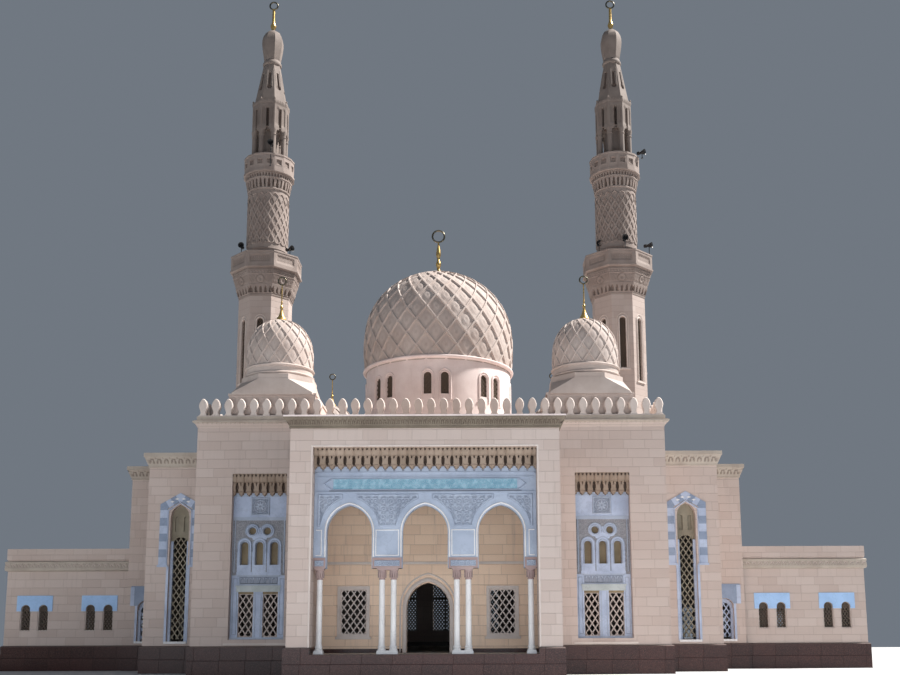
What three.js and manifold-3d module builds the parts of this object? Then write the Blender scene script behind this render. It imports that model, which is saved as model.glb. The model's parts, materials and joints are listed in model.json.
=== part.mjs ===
// A mosque with a great ribbed dome, four small domes and two minarets, as a scale model at 1:2.
// The front faces -Y, +Z is up, and the origin lies on the ground below the great dome's centre.
// All sizes below are metres of the real building. MODEL turns them into millimetres of the model.

import * as THREE from "three";
import { mergeVertices } from "three/addons/utils/BufferGeometryUtils.js";
import Module from "manifold-3d";

const MODEL = 500; // millimetres of the model for each metre of the real building
const GAP = 0.0006; // clearance between curved or cut pieces, 0.3 mm in the model
const PAST = 0.2; // how far a cutting tool reaches past the faces it cuts

// Levels above the ground
const FLOOR = 0.95;
const PLINTH_TOP = 1.2;
const PORTAL_EAVES = 9.33;
const PORTAL_TOP = 9.7;
const HALL_EAVES = 10.57;
const HALL_ROOF = 10.87;
const PARAPET_BASE = 11.08;
const MERLON_TOP = 12;
const AISLE_EAVES = 9.35;
const AISLE_TOP = 9.92;
const WING_EAVES = 4.83;
const WING_TOP = 5.9;

// Plan, as half widths along X and half depths along Y
const HALL = { x: 10.15, y: 11 };
const PORTAL = { x: 5, y: 17.4 };
const AISLE = { x: 13, y: 8.3 };
const BAY = { x: 15, y: 4.5 };
const WING = { x: 21, y: 4.2 };
const WALL = 0.6;
const THIN_WALL = 0.5;
const PLINTH_PROUD = 0.1;

// The minarets stand at the back ends of the side aisles
const MINARET = { x: 11.1, y: 7.6, base: 1.9, baseTop: 12, shaftFoot: 12.8 };
const AISLE_BACK = MINARET.y + MINARET.base;
const LOWER_SHAFT = { r: 1.68, bore: 1.25, top: 22.45 };
const LOWER_BALCONY = { r: 2.23, floor: 24.05, rail: 25.06 };
const UPPER_SHAFT = { r: 1.36, bore: 0.95, top: 29.6 };
const UPPER_BALCONY = { r: 1.66, floor: 30.7, rail: 31.7 };
const LANTERN = { r: 1.24, columnTop: 33.6, screenTop: 35.56, crownFoot: 1.08 };
const BULB = { neck: 38.7, neckR: 0.56, wide: 40.15, wideR: 0.735, top: 40.95 };

// Domes. Their outline leans in and rises by the powers given here, and swells out above its foot.
// The seat is the flat place on the tip where a finial stands.
const GREAT_DOME = {
  r: 3.944, foot: 15.75, apex: 21.262, lean: 0.807, rise: 0.832, swell: 0.068, pace: 1.35,
  shell: 0.35, seat: { r: 0.21, z: 21.25 },
};
const SMALL_DOME = {
  r: 1.479, foot: 13.62, apex: 15.982, lean: 0.966, rise: 0.643, swell: 0.013, pace: 2.383,
  shell: 0.26, seat: { r: 0.34, z: 15.945 },
};
const DRUM = { r: 3.92, wall: 0.45, footR: 4.07, footTop: 11.37, ringR: 4.1, ringFoot: 15.62 };
const DRUM_WINDOW = { width: 0.4, foot: 13.75, spring: 14.7, pairs: 8, spread: 13 };

// Each small dome stands on a square block, an octagon and a round neck with two thin rings.
const DOME_BLOCK = { x: 7, y: 9.05, half: 1.9, top: 12.15, octagon: 1.6, octagonTop: 13.12 };
const DOME_NECK = { r: 1.5, ringR: 1.58, rings: [13.2, 13.5], ringHeight: 0.1 };

// Finials of gilded brass: radius and height up the stem, then the upright ring on its end
const GREAT_FINIAL = {
  stem: [[0.2, 0], [0.09, 0.5], [0.155, 0.78], [0.07, 1.08], [0.14, 1.35], [0.045, 1.9], [0.045, 2.1]],
  ring: { r: 0.335, z: 2.42, tube: 0.05 },
};
const SMALL_FINIAL = {
  stem: [[0.33, 0], [0.17, 0.22], [0.05, 0.58], [0.08, 0.7], [0.03, 0.8], [0.05, 0.92], [0.03, 1.02],
    [0.03, 1.8]],
  ring: { r: 0.18, z: 1.965, tube: 0.035 },
};
const MINARET_FINIAL = {
  stem: [[0.1, 0], [0.12, 0.12], [0.2, 0.33], [0.1, 0.56], [0.085, 1.55]],
  ring: { r: 0.26, z: 1.8, tube: 0.05 },
};

// The portal's arcade
const RECESS = { x: 4.15, top: 8.55, depth: 0.9 };
const ARCADE = { spacing: 2.82, half: 0.84, spring: 5.43, apex: 6.43, thick: 0.35 };
const IMPOST = { foot: 4.08, cap: 3.71, base: 1.29 };
const COLUMN_R = 0.11;
const COLUMN_AT = { side: 3.91, inner: 1.6, middle: 1.17 };
const PORTICO_DEPTH = 3.5;
const GRILLE = { x: 2.95, width: 1.05, foot: 1.65, head: 3.45 };
const DOORWAY = { width: 1.7, spring: 2.7, apex: 3.7 };

// The tall niches beside the portal
const NICHE = { x: 7.39, half: 1.175, foot: 1.48, head: 8.56, panel: 0.25, hood: 7.6 };
const LATTICE = { at: 0.525, width: 0.65, foot: 1.58, head: 3.4 };
const CLERESTORY = { pitch: 0.64, width: 0.32, foot: 4.64, spring: 5.47 };
const ROUNDEL = { at: 0.32, z: 6.1, r: 0.155 };

// Windows of the aisles, bays and wings
const TALL_WINDOW = { width: 0.85, foot: 1.34, spring: 7.0, apex: 7.56 };
const AISLE_WINDOW_X = 11.52;
const BAY_WINDOW_X = 14.05;
const WING_WINDOW = { width: 0.54, foot: 1.9, spring: 2.93, at: [15.99, 16.85, 19.15, 20.01] };

// Parapet teeth: a waisted stem under a round head
const MERLON = { pitch: 0.55, stem: 0.15, waist: 0.1, head: 0.21, thick: 0.26, course: 0.12 };

const wasm = await Module();
wasm.setup();

const FINISH = {
  stone: { color: 0xb8a294, roughness: 0.85, metalness: 0 },
  marble: { color: 0xd6d9e2, roughness: 0.55, metalness: 0 },
  granite: { color: 0x5c2a26, roughness: 0.4, metalness: 0 },
  paving: { color: 0xb9b0a4, roughness: 0.7, metalness: 0 },
  brass: { color: 0xc9a14a, roughness: 0.3, metalness: 1 },
};

const building = new THREE.Group();

// Solids and booleans

function solid(geometry) {
  const bare = geometry.clone();
  bare.deleteAttribute("normal");
  bare.deleteAttribute("uv");
  const merged = mergeVertices(bare, 1e-5);
  return new wasm.Manifold(
    new wasm.Mesh({
      numProp: 3,
      vertProperties: merged.attributes.position.array,
      triVerts: new Uint32Array(merged.index.array),
    }),
  );
}

function join(...solids) {
  return solids.reduce((whole, next) => whole.add(next));
}

function cut(body, ...tools) {
  return tools.reduce((rest, tool) => rest.subtract(tool), body);
}

function onGrid(value) {
  return Math.round(value * MODEL * 100) / 100;
}

// Adds a solid to the building as a named mesh, in millimetres of the model.
function place(name, finish, body) {
  const mesh = body.getMesh();
  const position = new Float32Array(mesh.numVert * 3);
  for (let i = 0; i < mesh.numVert; i++)
    for (let k = 0; k < 3; k++)
      position[3 * i + k] = onGrid(mesh.vertProperties[i * mesh.numProp + k]);
  const geometry = new THREE.BufferGeometry()
    .setAttribute("position", new THREE.BufferAttribute(position, 3))
    .setIndex(new THREE.BufferAttribute(new Uint32Array(mesh.triVerts), 1));
  geometry.computeVertexNormals();
  const made = new THREE.Mesh(geometry, new THREE.MeshStandardMaterial(FINISH[finish]));
  made.name = name;
  building.add(made);
}

// Basic forms

function box(x0, x1, y0, y1, z0, z1) {
  const shape = new THREE.BoxGeometry(x1 - x0, y1 - y0, z1 - z0);
  return solid(shape.translate((x0 + x1) / 2, (y0 + y1) / 2, (z0 + z1) / 2));
}

function extruded(outline, depth) {
  const shape = new THREE.Shape(outline.map(([u, v]) => new THREE.Vector2(u, v)));
  return new THREE.ExtrudeGeometry(shape, { depth, bevelEnabled: false });
}

// An upright plate: the outline is drawn in X and Z, and its thickness runs from y0 to y1.
function plate(outline, holes, y0, y1) {
  const upright = (points, from, to) =>
    solid(extruded(points, to - from).rotateX(Math.PI / 2).translate(0, to, 0));
  return cut(upright(outline, y0, y1), ...holes.map((hole) => upright(hole, y0 - PAST, y1 + PAST)));
}

// The same plate turned to face sideways: drawn in Y and Z, with its thickness from x0 to x1.
function sidePlate(outline, holes, x0, x1) {
  return plate(outline, holes, 0, x1 - x0).rotate([0, 0, 90]).translate([x1, 0, 0]);
}

// A slab drawn in X and Y.
function slab(outline, z0, z1) {
  return solid(extruded(outline, z1 - z0).translate(0, 0, z0));
}

// A turned form about Z, from a profile of [radius, height] that rises on the outside.
function turned(profile, sides = 32) {
  const points = profile.map(([r, z]) => new THREE.Vector2(r, z));
  return solid(new THREE.LatheGeometry(points, sides).rotateX(Math.PI / 2));
}

function mirrored(body) {
  return body.mirror([1, 0, 0]);
}

function polygonPoints(r, sides, turn = 0) {
  const corners = Array.from({ length: sides }, (_, i) => turn + (i * 2 * Math.PI) / sides);
  return corners.map((a) => [r * Math.cos(a), r * Math.sin(a)]);
}

// A closed skin lofted through rings of equal corner count, each a list of [x, y, z].
function lofted(rings) {
  const count = rings[0].length;
  const position = rings.flat(2);
  const faces = [];
  for (let level = 0; level + 1 < rings.length; level++)
    for (let i = 0; i < count; i++) {
      const low = level * count;
      const a = low + i;
      const b = low + ((i + 1) % count);
      faces.push(a, b, b + count, a, b + count, a + count);
    }
  const flat = (ring) => ring.map(([x, y]) => new THREE.Vector2(x, y));
  const top = (rings.length - 1) * count;
  for (const [i, j, k] of THREE.ShapeUtils.triangulateShape(flat(rings[0]), []))
    faces.push(k, j, i);
  for (const [i, j, k] of THREE.ShapeUtils.triangulateShape(flat(rings[rings.length - 1]), []))
    faces.push(top + i, top + j, top + k);
  const skin = new THREE.BufferGeometry()
    .setAttribute("position", new THREE.BufferAttribute(new Float32Array(position), 3))
    .setIndex(faces);
  return solid(skin);
}

// A right-angled plan outline moved outwards by a distance; the outline runs anticlockwise.
function offset(outline, distance) {
  return outline.map(([x, y], i) => {
    const [px, py] = outline[(i + outline.length - 1) % outline.length];
    const [nx, ny] = outline[(i + 1) % outline.length];
    const before = [Math.sign(y - py), -Math.sign(x - px)];
    const after = [Math.sign(ny - y), -Math.sign(nx - x)];
    return [x + (before[0] + after[0]) * distance, y + (before[1] + after[1]) * distance];
  });
}

// A roof or band that follows a plan outline, with [offset, height] for each ring from below.
function stepped(outline, profile) {
  return lofted(profile.map(([out, z]) => offset(outline, out).map(([x, y]) => [x, y, z])));
}

function rectangle(x0, x1, y0, y1) {
  return [[x0, y0], [x1, y0], [x1, y1], [x0, y1]];
}

// Openings

// A window outline with an upright foot and a pointed, round or flat head.
function archOutline(centre, width, foot, spring, apex, steps = 4) {
  const half = width / 2;
  const rise = apex - spring;
  const inset = rise > half ? (rise * rise - half * half) / (2 * half) : 0;
  const radius = half + inset;
  const sweep = rise > half ? Math.atan2(rise, inset) : Math.PI / 2;
  const height = rise > half ? radius : rise;
  const side = Array.from({ length: steps + 1 }, (_, i) => {
    const angle = (sweep * i) / steps;
    return [radius * Math.cos(angle) - inset, spring + height * Math.sin(angle)];
  });
  const right = side.map(([u, z]) => [centre + u, z]);
  const left = side.slice(0, -1).reverse().map(([u, z]) => [centre - u, z]);
  return [[centre - half, foot], [centre + half, foot], ...right, ...left];
}

function roundHeaded(centre, width, foot, spring) {
  return archOutline(centre, width, foot, spring, spring + width / 2, 3);
}

function discOutline(centre, z, r, sides = 10) {
  return polygonPoints(r, sides).map(([u, v]) => [centre + u, z + v]);
}

function rectangleHole(centre, width, foot, head) {
  return rectangle(centre - width / 2, centre + width / 2, foot, head);
}

// Ground works

function mirroredOutline(right) {
  const left = right.map(([x, y]) => [-x, y]).reverse();
  return [...right, ...left];
}

const FOOTPRINT = mirroredOutline([
  [PORTAL.x, -PORTAL.y], [PORTAL.x, -HALL.y], [HALL.x, -HALL.y], [HALL.x, -AISLE.y],
  [AISLE.x, -AISLE.y], [AISLE.x, -BAY.y], [BAY.x, -BAY.y], [BAY.x, -WING.y],
  [WING.x, -WING.y], [WING.x, WING.y], [BAY.x, WING.y], [BAY.x, BAY.y],
  [AISLE.x, BAY.y], [AISLE.x, AISLE_BACK], [HALL.x, AISLE_BACK], [HALL.x, HALL.y],
  [PORTAL.x, HALL.y], [PORTAL.x, PORTAL.y],
]);

function plinth() {
  const rim = 0.05; // height of the splay along the plinth's top edge
  const course = stepped(FOOTPRINT, [
    [PLINTH_PROUD, 0], [PLINTH_PROUD, PLINTH_TOP - rim], [PLINTH_PROUD - rim, PLINTH_TOP],
  ]);
  const inside = slab(offset(FOOTPRINT, -WALL), -PAST, PLINTH_TOP + PAST);
  const step = box(-RECESS.x, RECESS.x, -PORTAL.y - 1, -PORTAL.y + RECESS.depth, FLOOR, 2);
  place("granite_plinth", "granite", cut(course, inside, step));
}

function floorSlab() {
  place("floor_slab", "paving", slab(offset(FOOTPRINT, -WALL - GAP), 0, FLOOR));
}

// The hall

function nicheOutline(centre) {
  return rectangle(centre - NICHE.half, centre + NICHE.half, NICHE.foot, NICHE.head);
}

// The windows of one niche, as outlines in X and Z.
function nicheWindows(centre) {
  const lattices = [-1, 1].map((side) =>
    rectangleHole(centre + side * LATTICE.at, LATTICE.width, LATTICE.foot, LATTICE.head));
  const row = [-1, 0, 1].map((i) =>
    roundHeaded(centre + i * CLERESTORY.pitch, CLERESTORY.width, CLERESTORY.foot, CLERESTORY.spring));
  const roundels = [-1, 1].map((side) => discOutline(centre + side * ROUNDEL.at, ROUNDEL.z, ROUNDEL.r));
  return [...lattices, ...row, ...roundels];
}

// A hall end wall, with the way through to the portal left open at its middle.
function hallEnd(holes, y0, y1) {
  const way = rectangleHole(0, 2 * (PORTAL.x - WALL), 0, PORTAL_EAVES - 0.3);
  return plate(rectangle(-HALL.x, HALL.x, PLINTH_TOP, HALL_EAVES), [way, ...holes], y0, y1);
}

function hallWalls() {
  const niches = [-NICHE.x, NICHE.x];
  place("front_wall", "stone", hallEnd(niches.map(nicheOutline), -HALL.y, -HALL.y + WALL));
  const back = hallEnd(niches.flatMap(nicheWindows), HALL.y - WALL, HALL.y);
  const turn = box(HALL.x - WALL, HALL.x, AISLE_BACK + GAP, HALL.y - WALL / 2, PLINTH_TOP, HALL_EAVES);
  place("rear_wall", "stone", join(back, turn, mirrored(turn)));

  const end = MINARET.y - MINARET.base - GAP;
  const start = -HALL.y + WALL;
  const ways = [-6.2, -1.7, 2.8].map((y) => archOutline(y, 3, FLOOR - 1, 5, 7.5));
  const outline = rectangle(start, end, PLINTH_TOP, HALL_EAVES);
  const right = sidePlate(outline, [], HALL.x - WALL, HALL.x);
  const tools = ways.map((way) => sidePlate(way, [], HALL.x - 1, HALL.x + 1));
  const foot = box(HALL.x - WALL, HALL.x, -AISLE.y + WALL + GAP, end, FLOOR, PLINTH_TOP);
  const wall = cut(join(right, foot), ...tools);
  place("right_hall_wall", "stone", wall);
  place("left_hall_wall", "stone", mirrored(wall));
}

function nichePanels() {
  for (const [name, centre] of [["left", -NICHE.x], ["right", NICHE.x]]) {
    const frame = rectangle(
      centre - NICHE.half + GAP, centre + NICHE.half - GAP, NICHE.foot + GAP, NICHE.head - GAP);
    const back = -HALL.y + WALL;
    const panel = plate(frame, nicheWindows(centre), back - NICHE.panel, back);
    const tiers = [1, 2, 3].map((n) => {
      const foot = NICHE.hood + (n - 1) * 0.32;
      return box(frame[0][0], frame[1][0], back - NICHE.panel - n * 0.1, back - NICHE.panel / 2,
        foot, NICHE.head - GAP);
    });
    place(name + "_niche_panel", "marble", join(panel, ...tiers));
  }
}

const DRUM_BORE = DRUM.r - DRUM.wall;

// The hall's roof slab, ending in the splayed cornice and the course that carries the parapet.
function hallRoof() {
  const outline = rectangle(-HALL.x, HALL.x, -HALL.y, HALL.y);
  const slabs = stepped(outline, [
    [0, HALL_EAVES], [0.14, HALL_EAVES + 0.24], [0.14, HALL_EAVES + 0.32], [0.04, HALL_EAVES + 0.34],
    [0.04, PARAPET_BASE],
  ]);
  const inner = offset(outline, -MERLON.thick);
  const well = slab(inner, HALL_ROOF, PARAPET_BASE + PAST);
  const eye = turned([[0, 10], [DRUM_BORE, 10], [DRUM_BORE, 12], [0, 12]]);
  const towers = [-1, 1].map((side) => minaretCore(side, MINARET.base + GAP, 10, 12));
  place("hall_roof", "stone", cut(slabs, well, eye, ...towers));
}

function minaretCore(side, half, z0, z1) {
  const x = side * MINARET.x;
  return box(x - half, x + half, MINARET.y - half, MINARET.y + half, z0, z1);
}

// One straight run of parapet teeth along X on a low course.
function parapet(from, to) {
  const count = Math.round((to - from) / MERLON.pitch);
  const pitch = (to - from) / count;
  const foot = PARAPET_BASE + MERLON.course;
  const { stem, waist, head, thick } = MERLON;
  const tooth = plate([
    [-stem, PARAPET_BASE + 0.02], [stem, PARAPET_BASE + 0.02], [waist, foot + 0.2], [head, foot + 0.5],
    [0, MERLON_TOP], [-head, foot + 0.5], [-waist, foot + 0.2],
  ], [], 0, thick);
  const teeth = Array.from({ length: count }, (_, i) => tooth.translate([from + (i + 0.5) * pitch, 0, 0]));
  return join(box(from, to, 0, thick, PARAPET_BASE, foot), ...teeth);
}

function parapets() {
  const row = parapet(-HALL.x, HALL.x).translate([0, -HALL.y, 0]);
  place("front_parapet", "stone", row);
  place("rear_parapet", "stone", row.mirror([0, 1, 0]));
  const end = MINARET.y - MINARET.base - GAP;
  const side = parapet(-HALL.y + MERLON.thick, end).rotate([0, 0, 90]).translate([HALL.x, 0, 0]);
  place("right_parapet", "stone", side);
  place("left_parapet", "stone", mirrored(side));
}

// The portal and its arcade

const ROOF_RIM = 0.4; // width of the raised rim that runs round the lower roofs

// The portal's roof ends in a splayed cornice; the rear portal repeats it.
function portalRoofs() {
  const outline = rectangle(-PORTAL.x, PORTAL.x, -PORTAL.y, -HALL.y + PAST);
  const flared = stepped(outline, [
    [0, PORTAL_EAVES], [0.16, PORTAL_EAVES + 0.25], [0.16, PORTAL_TOP],
  ]);
  const hall = box(-HALL.x, HALL.x, -HALL.y, 0, PORTAL_EAVES - PAST, PORTAL_TOP + PAST);
  const inner = rectangle(-PORTAL.x + ROOF_RIM, PORTAL.x - ROOF_RIM, -PORTAL.y + ROOF_RIM, 0);
  const roof = cut(flared, hall, slab(inner, PORTAL_TOP - 0.1, PORTAL_TOP + PAST));
  place("portal_roof", "stone", roof);
  place("rear_portal_roof", "stone", roof.mirror([0, 1, 0]));
}

function arcadeArches(foot) {
  return [-1, 0, 1].map((i) =>
    archOutline(i * ARCADE.spacing, ARCADE.half * 2, foot, ARCADE.spring, ARCADE.apex, 6));
}

function portalWalls() {
  const face = rectangle(-PORTAL.x, PORTAL.x, PLINTH_TOP, PORTAL_EAVES);
  const recess = rectangleHole(0, 2 * RECESS.x, 0, RECESS.top);
  const front = plate(face, [recess], -PORTAL.y, -PORTAL.y + RECESS.depth);
  const side = box(PORTAL.x - WALL, PORTAL.x, -PORTAL.y + RECESS.depth / 2, -HALL.y,
    PLINTH_TOP, PORTAL_EAVES);
  place("portal_walls", "stone", join(front, side, mirrored(side)));

  const rear = plate(face, arcadeArches(PLINTH_TOP + 0.8), PORTAL.y - WALL, PORTAL.y);
  const rearSide = box(PORTAL.x - WALL, PORTAL.x, HALL.y, PORTAL.y - WALL / 2,
    PLINTH_TOP, PORTAL_EAVES);
  place("rear_portal_walls", "stone", join(rear, rearSide, mirrored(rearSide)));
}

function porticoBackWall() {
  const half = PORTAL.x - WALL - GAP;
  const door = archOutline(0, DOORWAY.width, 0, DOORWAY.spring, DOORWAY.apex, 5);
  const grilles = [-1, 1].map((side) =>
    rectangleHole(side * GRILLE.x, GRILLE.width, GRILLE.foot, GRILLE.head));
  const y = -PORTAL.y + PORTICO_DEPTH;
  const outline = rectangle(-half, half, FLOOR, PORTAL_EAVES);
  place("portico_back_wall", "stone", plate(outline, [door, ...grilles], y, y + THIN_WALL));
}

const ARCADE_BACK = -PORTAL.y + RECESS.depth;

// The arcade screen: three pointed arches that come down on imposts over the columns.
function arcade() {
  const half = RECESS.x - GAP;
  const outline = rectangle(-half, half, IMPOST.foot, RECESS.top - GAP);
  const screen = plate(outline, arcadeArches(0), ARCADE_BACK - ARCADE.thick, ARCADE_BACK);
  place("arcade_screen", "marble", screen);
}

// Three overhanging tiers that carry the honeycomb cornice over the arcade.
function portalCornice() {
  const half = RECESS.x - GAP;
  const back = ARCADE_BACK - ARCADE.thick - GAP;
  const tiers = [[7.77, 0.14], [8.03, 0.28], [8.29, 0.42]].map(([foot, out]) =>
    box(-half, half, back - out, back, foot, RECESS.top - GAP));
  place("honeycomb_cornice", "stone", join(...tiers));
}

// A column with a square base and a flared cap, or two that share them.
function columnSet(centres) {
  const y = ARCADE_BACK - ARCADE.thick / 2;
  const half = 0.165;
  const from = Math.min(...centres) - half;
  const to = Math.max(...centres) + half;
  const base = box(from, to, y - half, y + half, FLOOR, FLOOR + 0.16);
  const abacus = box(from, to, y - half, y + half, IMPOST.foot - 0.1, IMPOST.foot);
  const shafts = centres.map((x) =>
    turned([
      [0, FLOOR + 0.1], [0.155, FLOOR + 0.1], [0.15, FLOOR + 0.24], [COLUMN_R, IMPOST.base],
      [COLUMN_R * 0.95, IMPOST.cap], [0.155, IMPOST.foot - 0.1], [0.155, IMPOST.foot - 0.05],
      [0, IMPOST.foot - 0.05],
    ], 12).translate([x, y, 0]));
  return join(base, abacus, ...shafts);
}

function columns() {
  const pair = columnSet([COLUMN_AT.middle, COLUMN_AT.inner]);
  const single = columnSet([COLUMN_AT.side]);
  place("right_column_pair", "marble", pair);
  place("left_column_pair", "marble", mirrored(pair));
  place("right_side_column", "marble", single);
  place("left_side_column", "marble", mirrored(single));
}

// Side aisles, bays and wings

function sideWindow(centre) {
  return archOutline(centre, TALL_WINDOW.width, TALL_WINDOW.foot, TALL_WINDOW.spring, TALL_WINDOW.apex, 3);
}

function aisleWalls() {
  const t = THIN_WALL;
  const top = AISLE_EAVES;
  const foot = PLINTH_TOP;
  const ends = MINARET.y - MINARET.base - GAP;
  const aisleFront = plate(rectangle(HALL.x, AISLE.x, foot, top), [sideWindow(AISLE_WINDOW_X)],
    -AISLE.y, -AISLE.y + t);
  const aisleSide = box(AISLE.x - t, AISLE.x, -AISLE.y + t / 2, -BAY.y + t / 2, foot, top);
  const aisleTail = box(AISLE.x - t, AISLE.x, BAY.y - t / 2, ends, foot, top);
  const lintel = box(AISLE.x - t, AISLE.x, -BAY.y, BAY.y, top - 0.9, top);
  const bayOutline = rectangle(AISLE.x - t / 2, BAY.x, foot, top);
  const bayFront = plate(bayOutline, [sideWindow(BAY_WINDOW_X)], -BAY.y, -BAY.y + t);
  const bayBack = plate(bayOutline, [sideWindow(BAY_WINDOW_X)], BAY.y - t, BAY.y);
  const way = plate(rectangle(-WING.y + t, WING.y - t, 0, WING_EAVES), [], 0, 2);
  const baySide = cut(
    box(BAY.x - t, BAY.x, -BAY.y + t / 2, BAY.y - t / 2, foot, top),
    way.rotate([0, 0, 90]).translate([BAY.x + 1, 0, 0]),
  );
  const right = join(aisleFront, aisleSide, aisleTail, lintel, bayFront, bayBack, baySide);
  place("right_aisle_walls", "stone", right);
  place("left_aisle_walls", "stone", mirrored(right));
}

function aisleRoofs() {
  const outline = [
    [HALL.x, -AISLE.y], [AISLE.x, -AISLE.y], [AISLE.x, -BAY.y], [BAY.x, -BAY.y],
    [BAY.x, BAY.y], [AISLE.x, BAY.y], [AISLE.x, AISLE_BACK], [HALL.x, AISLE_BACK],
  ];
  const flared = stepped(outline, [
    [0, AISLE_EAVES], [0.15, AISLE_EAVES + 0.4], [0.15, AISLE_TOP],
  ]);
  const hall = box(0, HALL.x + GAP, -11, 11, 9, 11);
  const beyond = box(8, 14, MINARET.y - MINARET.base - GAP, 11, 9, 11);
  const well = slab(offset(outline, -ROOF_RIM), AISLE_TOP - 0.2, 11);
  const right = cut(flared, hall, beyond, well);
  place("right_aisle_roof", "stone", right);
  place("left_aisle_roof", "stone", mirrored(right));
}

function wings() {
  const t = THIN_WALL;
  const face = plate(rectangle(BAY.x, WING.x, PLINTH_TOP, WING_EAVES),
    WING_WINDOW.at.map((x) => roundHeaded(x, WING_WINDOW.width, WING_WINDOW.foot, WING_WINDOW.spring)),
    -WING.y, -WING.y + t);
  const end = box(WING.x - t, WING.x, -WING.y + t / 2, WING.y - t / 2, PLINTH_TOP, WING_EAVES);
  const walls = join(face, face.translate([0, 2 * WING.y - t, 0]), end);
  place("right_wing_walls", "stone", walls);
  place("left_wing_walls", "stone", mirrored(walls));

  const outline = rectangle(BAY.x, WING.x, -WING.y, WING.y);
  const flared = stepped(outline, [
    [0, WING_EAVES], [0.1, WING_EAVES + 0.12], [0.1, WING_EAVES + 0.4], [0, WING_EAVES + 0.48],
    [0.06, WING_EAVES + 0.56], [0.06, WING_TOP],
  ]);
  const bay = box(BAY.x - 1, BAY.x, -5, 5, 4, 7);
  const inner = rectangle(BAY.x - 1, WING.x - ROOF_RIM, -WING.y + ROOF_RIM, WING.y - ROOF_RIM);
  const well = slab(inner, WING_TOP - 0.6, WING_TOP + PAST);
  const roof = cut(flared, bay, well);
  place("right_wing_roof", "stone", roof);
  place("left_wing_roof", "stone", mirrored(roof));
}

// Domes

// The outline of a dome from its foot to its apex, as [radius, height].
function domeLine({ r, foot, apex, lean, rise, swell, pace }, steps) {
  return Array.from({ length: steps + 1 }, (_, i) => {
    const t = i / steps;
    const angle = (t * Math.PI) / 2;
    const wide = r * (1 + swell * Math.sin(Math.PI * Math.min(1, t * pace)));
    return [wide * Math.cos(angle) ** lean, foot + (apex - foot) * Math.sin(angle) ** rise];
  });
}

// A dome's shell in section: down its inside, along its foot and up to the seat of its finial.
function domeSection(dome, steps, base) {
  const { shell, seat } = dome;
  const inner = domeLine({ ...dome, r: dome.r - shell, apex: dome.apex - shell }, 6);
  inner[inner.length - 1][0] = 0;
  const outer = domeLine(dome, steps).filter(([r]) => r > seat.r + 0.05);
  return [...inner.reverse(), ...base, ...outer, [seat.r, seat.z], [0, seat.z]];
}

function greatDrum() {
  const { r, footR, footTop, ringR, ringFoot } = DRUM;
  const top = GREAT_DOME.foot;
  const inside = DRUM_BORE + GAP;
  const profile = [
    [inside, HALL_ROOF], [footR, HALL_ROOF], [footR, footTop], [r, footTop + 0.1], [r, ringFoot],
    [ringR, ringFoot + 0.04], [ringR, top], [inside, top], [inside, HALL_ROOF],
  ];
  const windows = [];
  for (let i = 0; i < DRUM_WINDOW.pairs; i++)
    for (const side of [-1, 1]) {
      const angle = (i * 360) / DRUM_WINDOW.pairs + (side * DRUM_WINDOW.spread) / 2;
      const outline = roundHeaded(0, DRUM_WINDOW.width, DRUM_WINDOW.foot, DRUM_WINDOW.spring);
      windows.push(plate(outline, [], -r - 1, -2).rotate([0, 0, angle]));
    }
  place("great_drum", "stone", cut(turned(profile, 40), ...windows));
}

function greatDome() {
  place("great_dome", "stone", turned(domeSection(GREAT_DOME, 12, []), 40));
}

// A turned stem that ends in an upright ring.
function finial(foot, { stem, ring }) {
  const line = [[0, 0], ...stem, [0, stem[stem.length - 1][1]]];
  const rim = new THREE.TorusGeometry(ring.r, ring.tube, 4, 14).rotateX(Math.PI / 2);
  return join(turned(line, 8), solid(rim.translate(0, 0, ring.z))).translate([0, 0, foot]);
}

// An octagon given by the distance from its middle to each side.
function flatOctagon(reach) {
  return polygonPoints(reach / Math.cos(Math.PI / 8), 8, Math.PI / 8);
}

// The neck under a small dome, from its foot up to the dome, as [radius, height].
function neckSection(inside, foot) {
  const { r, ringR, rings, ringHeight } = DOME_NECK;
  const bands = rings.flatMap((z) => [
    [r, z - 0.04], [ringR, z], [ringR, z + ringHeight], [r, z + ringHeight + 0.04],
  ]);
  bands.pop();
  return [[inside, foot], [r, foot], ...bands];
}

// A small dome on its block, which stays clear of the parapet on its outer side.
function smallDome(parapetClear) {
  const { half, top, octagon: reach, octagonTop } = DOME_BLOCK;
  const inside = SMALL_DOME.r - SMALL_DOME.shell;
  const shoulder = octagonTop - 0.24;
  const corner = half - 0.12;
  const square = rectangle(-corner, corner, -corner, corner);
  const broach = wasm.Manifold.hull([
    ...ringOf(square, top - 0.02), ...ringOf(flatOctagon(reach), shoulder),
  ]);
  const block = box(-half, half, -half, half, HALL_ROOF, top);
  const collar = slab(flatOctagon(reach), shoulder - 0.02, octagonTop);
  const cupola = turned(domeSection(SMALL_DOME, 9, neckSection(inside, shoulder - 0.2)), 24);
  const hollow = slab(polygonPoints(inside, 8, Math.PI / 8), HALL_ROOF - PAST, octagonTop + 0.08);
  const keep = box(-3, 3, -half + parapetClear, 3, 10, 17);
  return cut(join(block, broach, collar, cupola), hollow).intersect(keep);
}

function smallDomes() {
  const { x, y, half } = DOME_BLOCK;
  const front = smallDome(MERLON.thick - (HALL.y - y - half) + GAP);
  const rear = front.mirror([0, 1, 0]);
  const top = finial(SMALL_DOME.seat.z, SMALL_FINIAL);
  for (const [end, sy, body] of [["front", -1, front], ["rear", 1, rear]])
    for (const [side, sx] of [["left", -1], ["right", 1]]) {
      const at = [sx * x, sy * y, 0];
      place(`${end}_${side}_dome`, "stone", body.translate(at));
      place(`${end}_${side}_dome_finial`, "brass", top.translate(at));
    }
  place("great_dome_finial", "brass", finial(GREAT_DOME.seat.z, GREAT_FINIAL));
}

// Minarets

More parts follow.
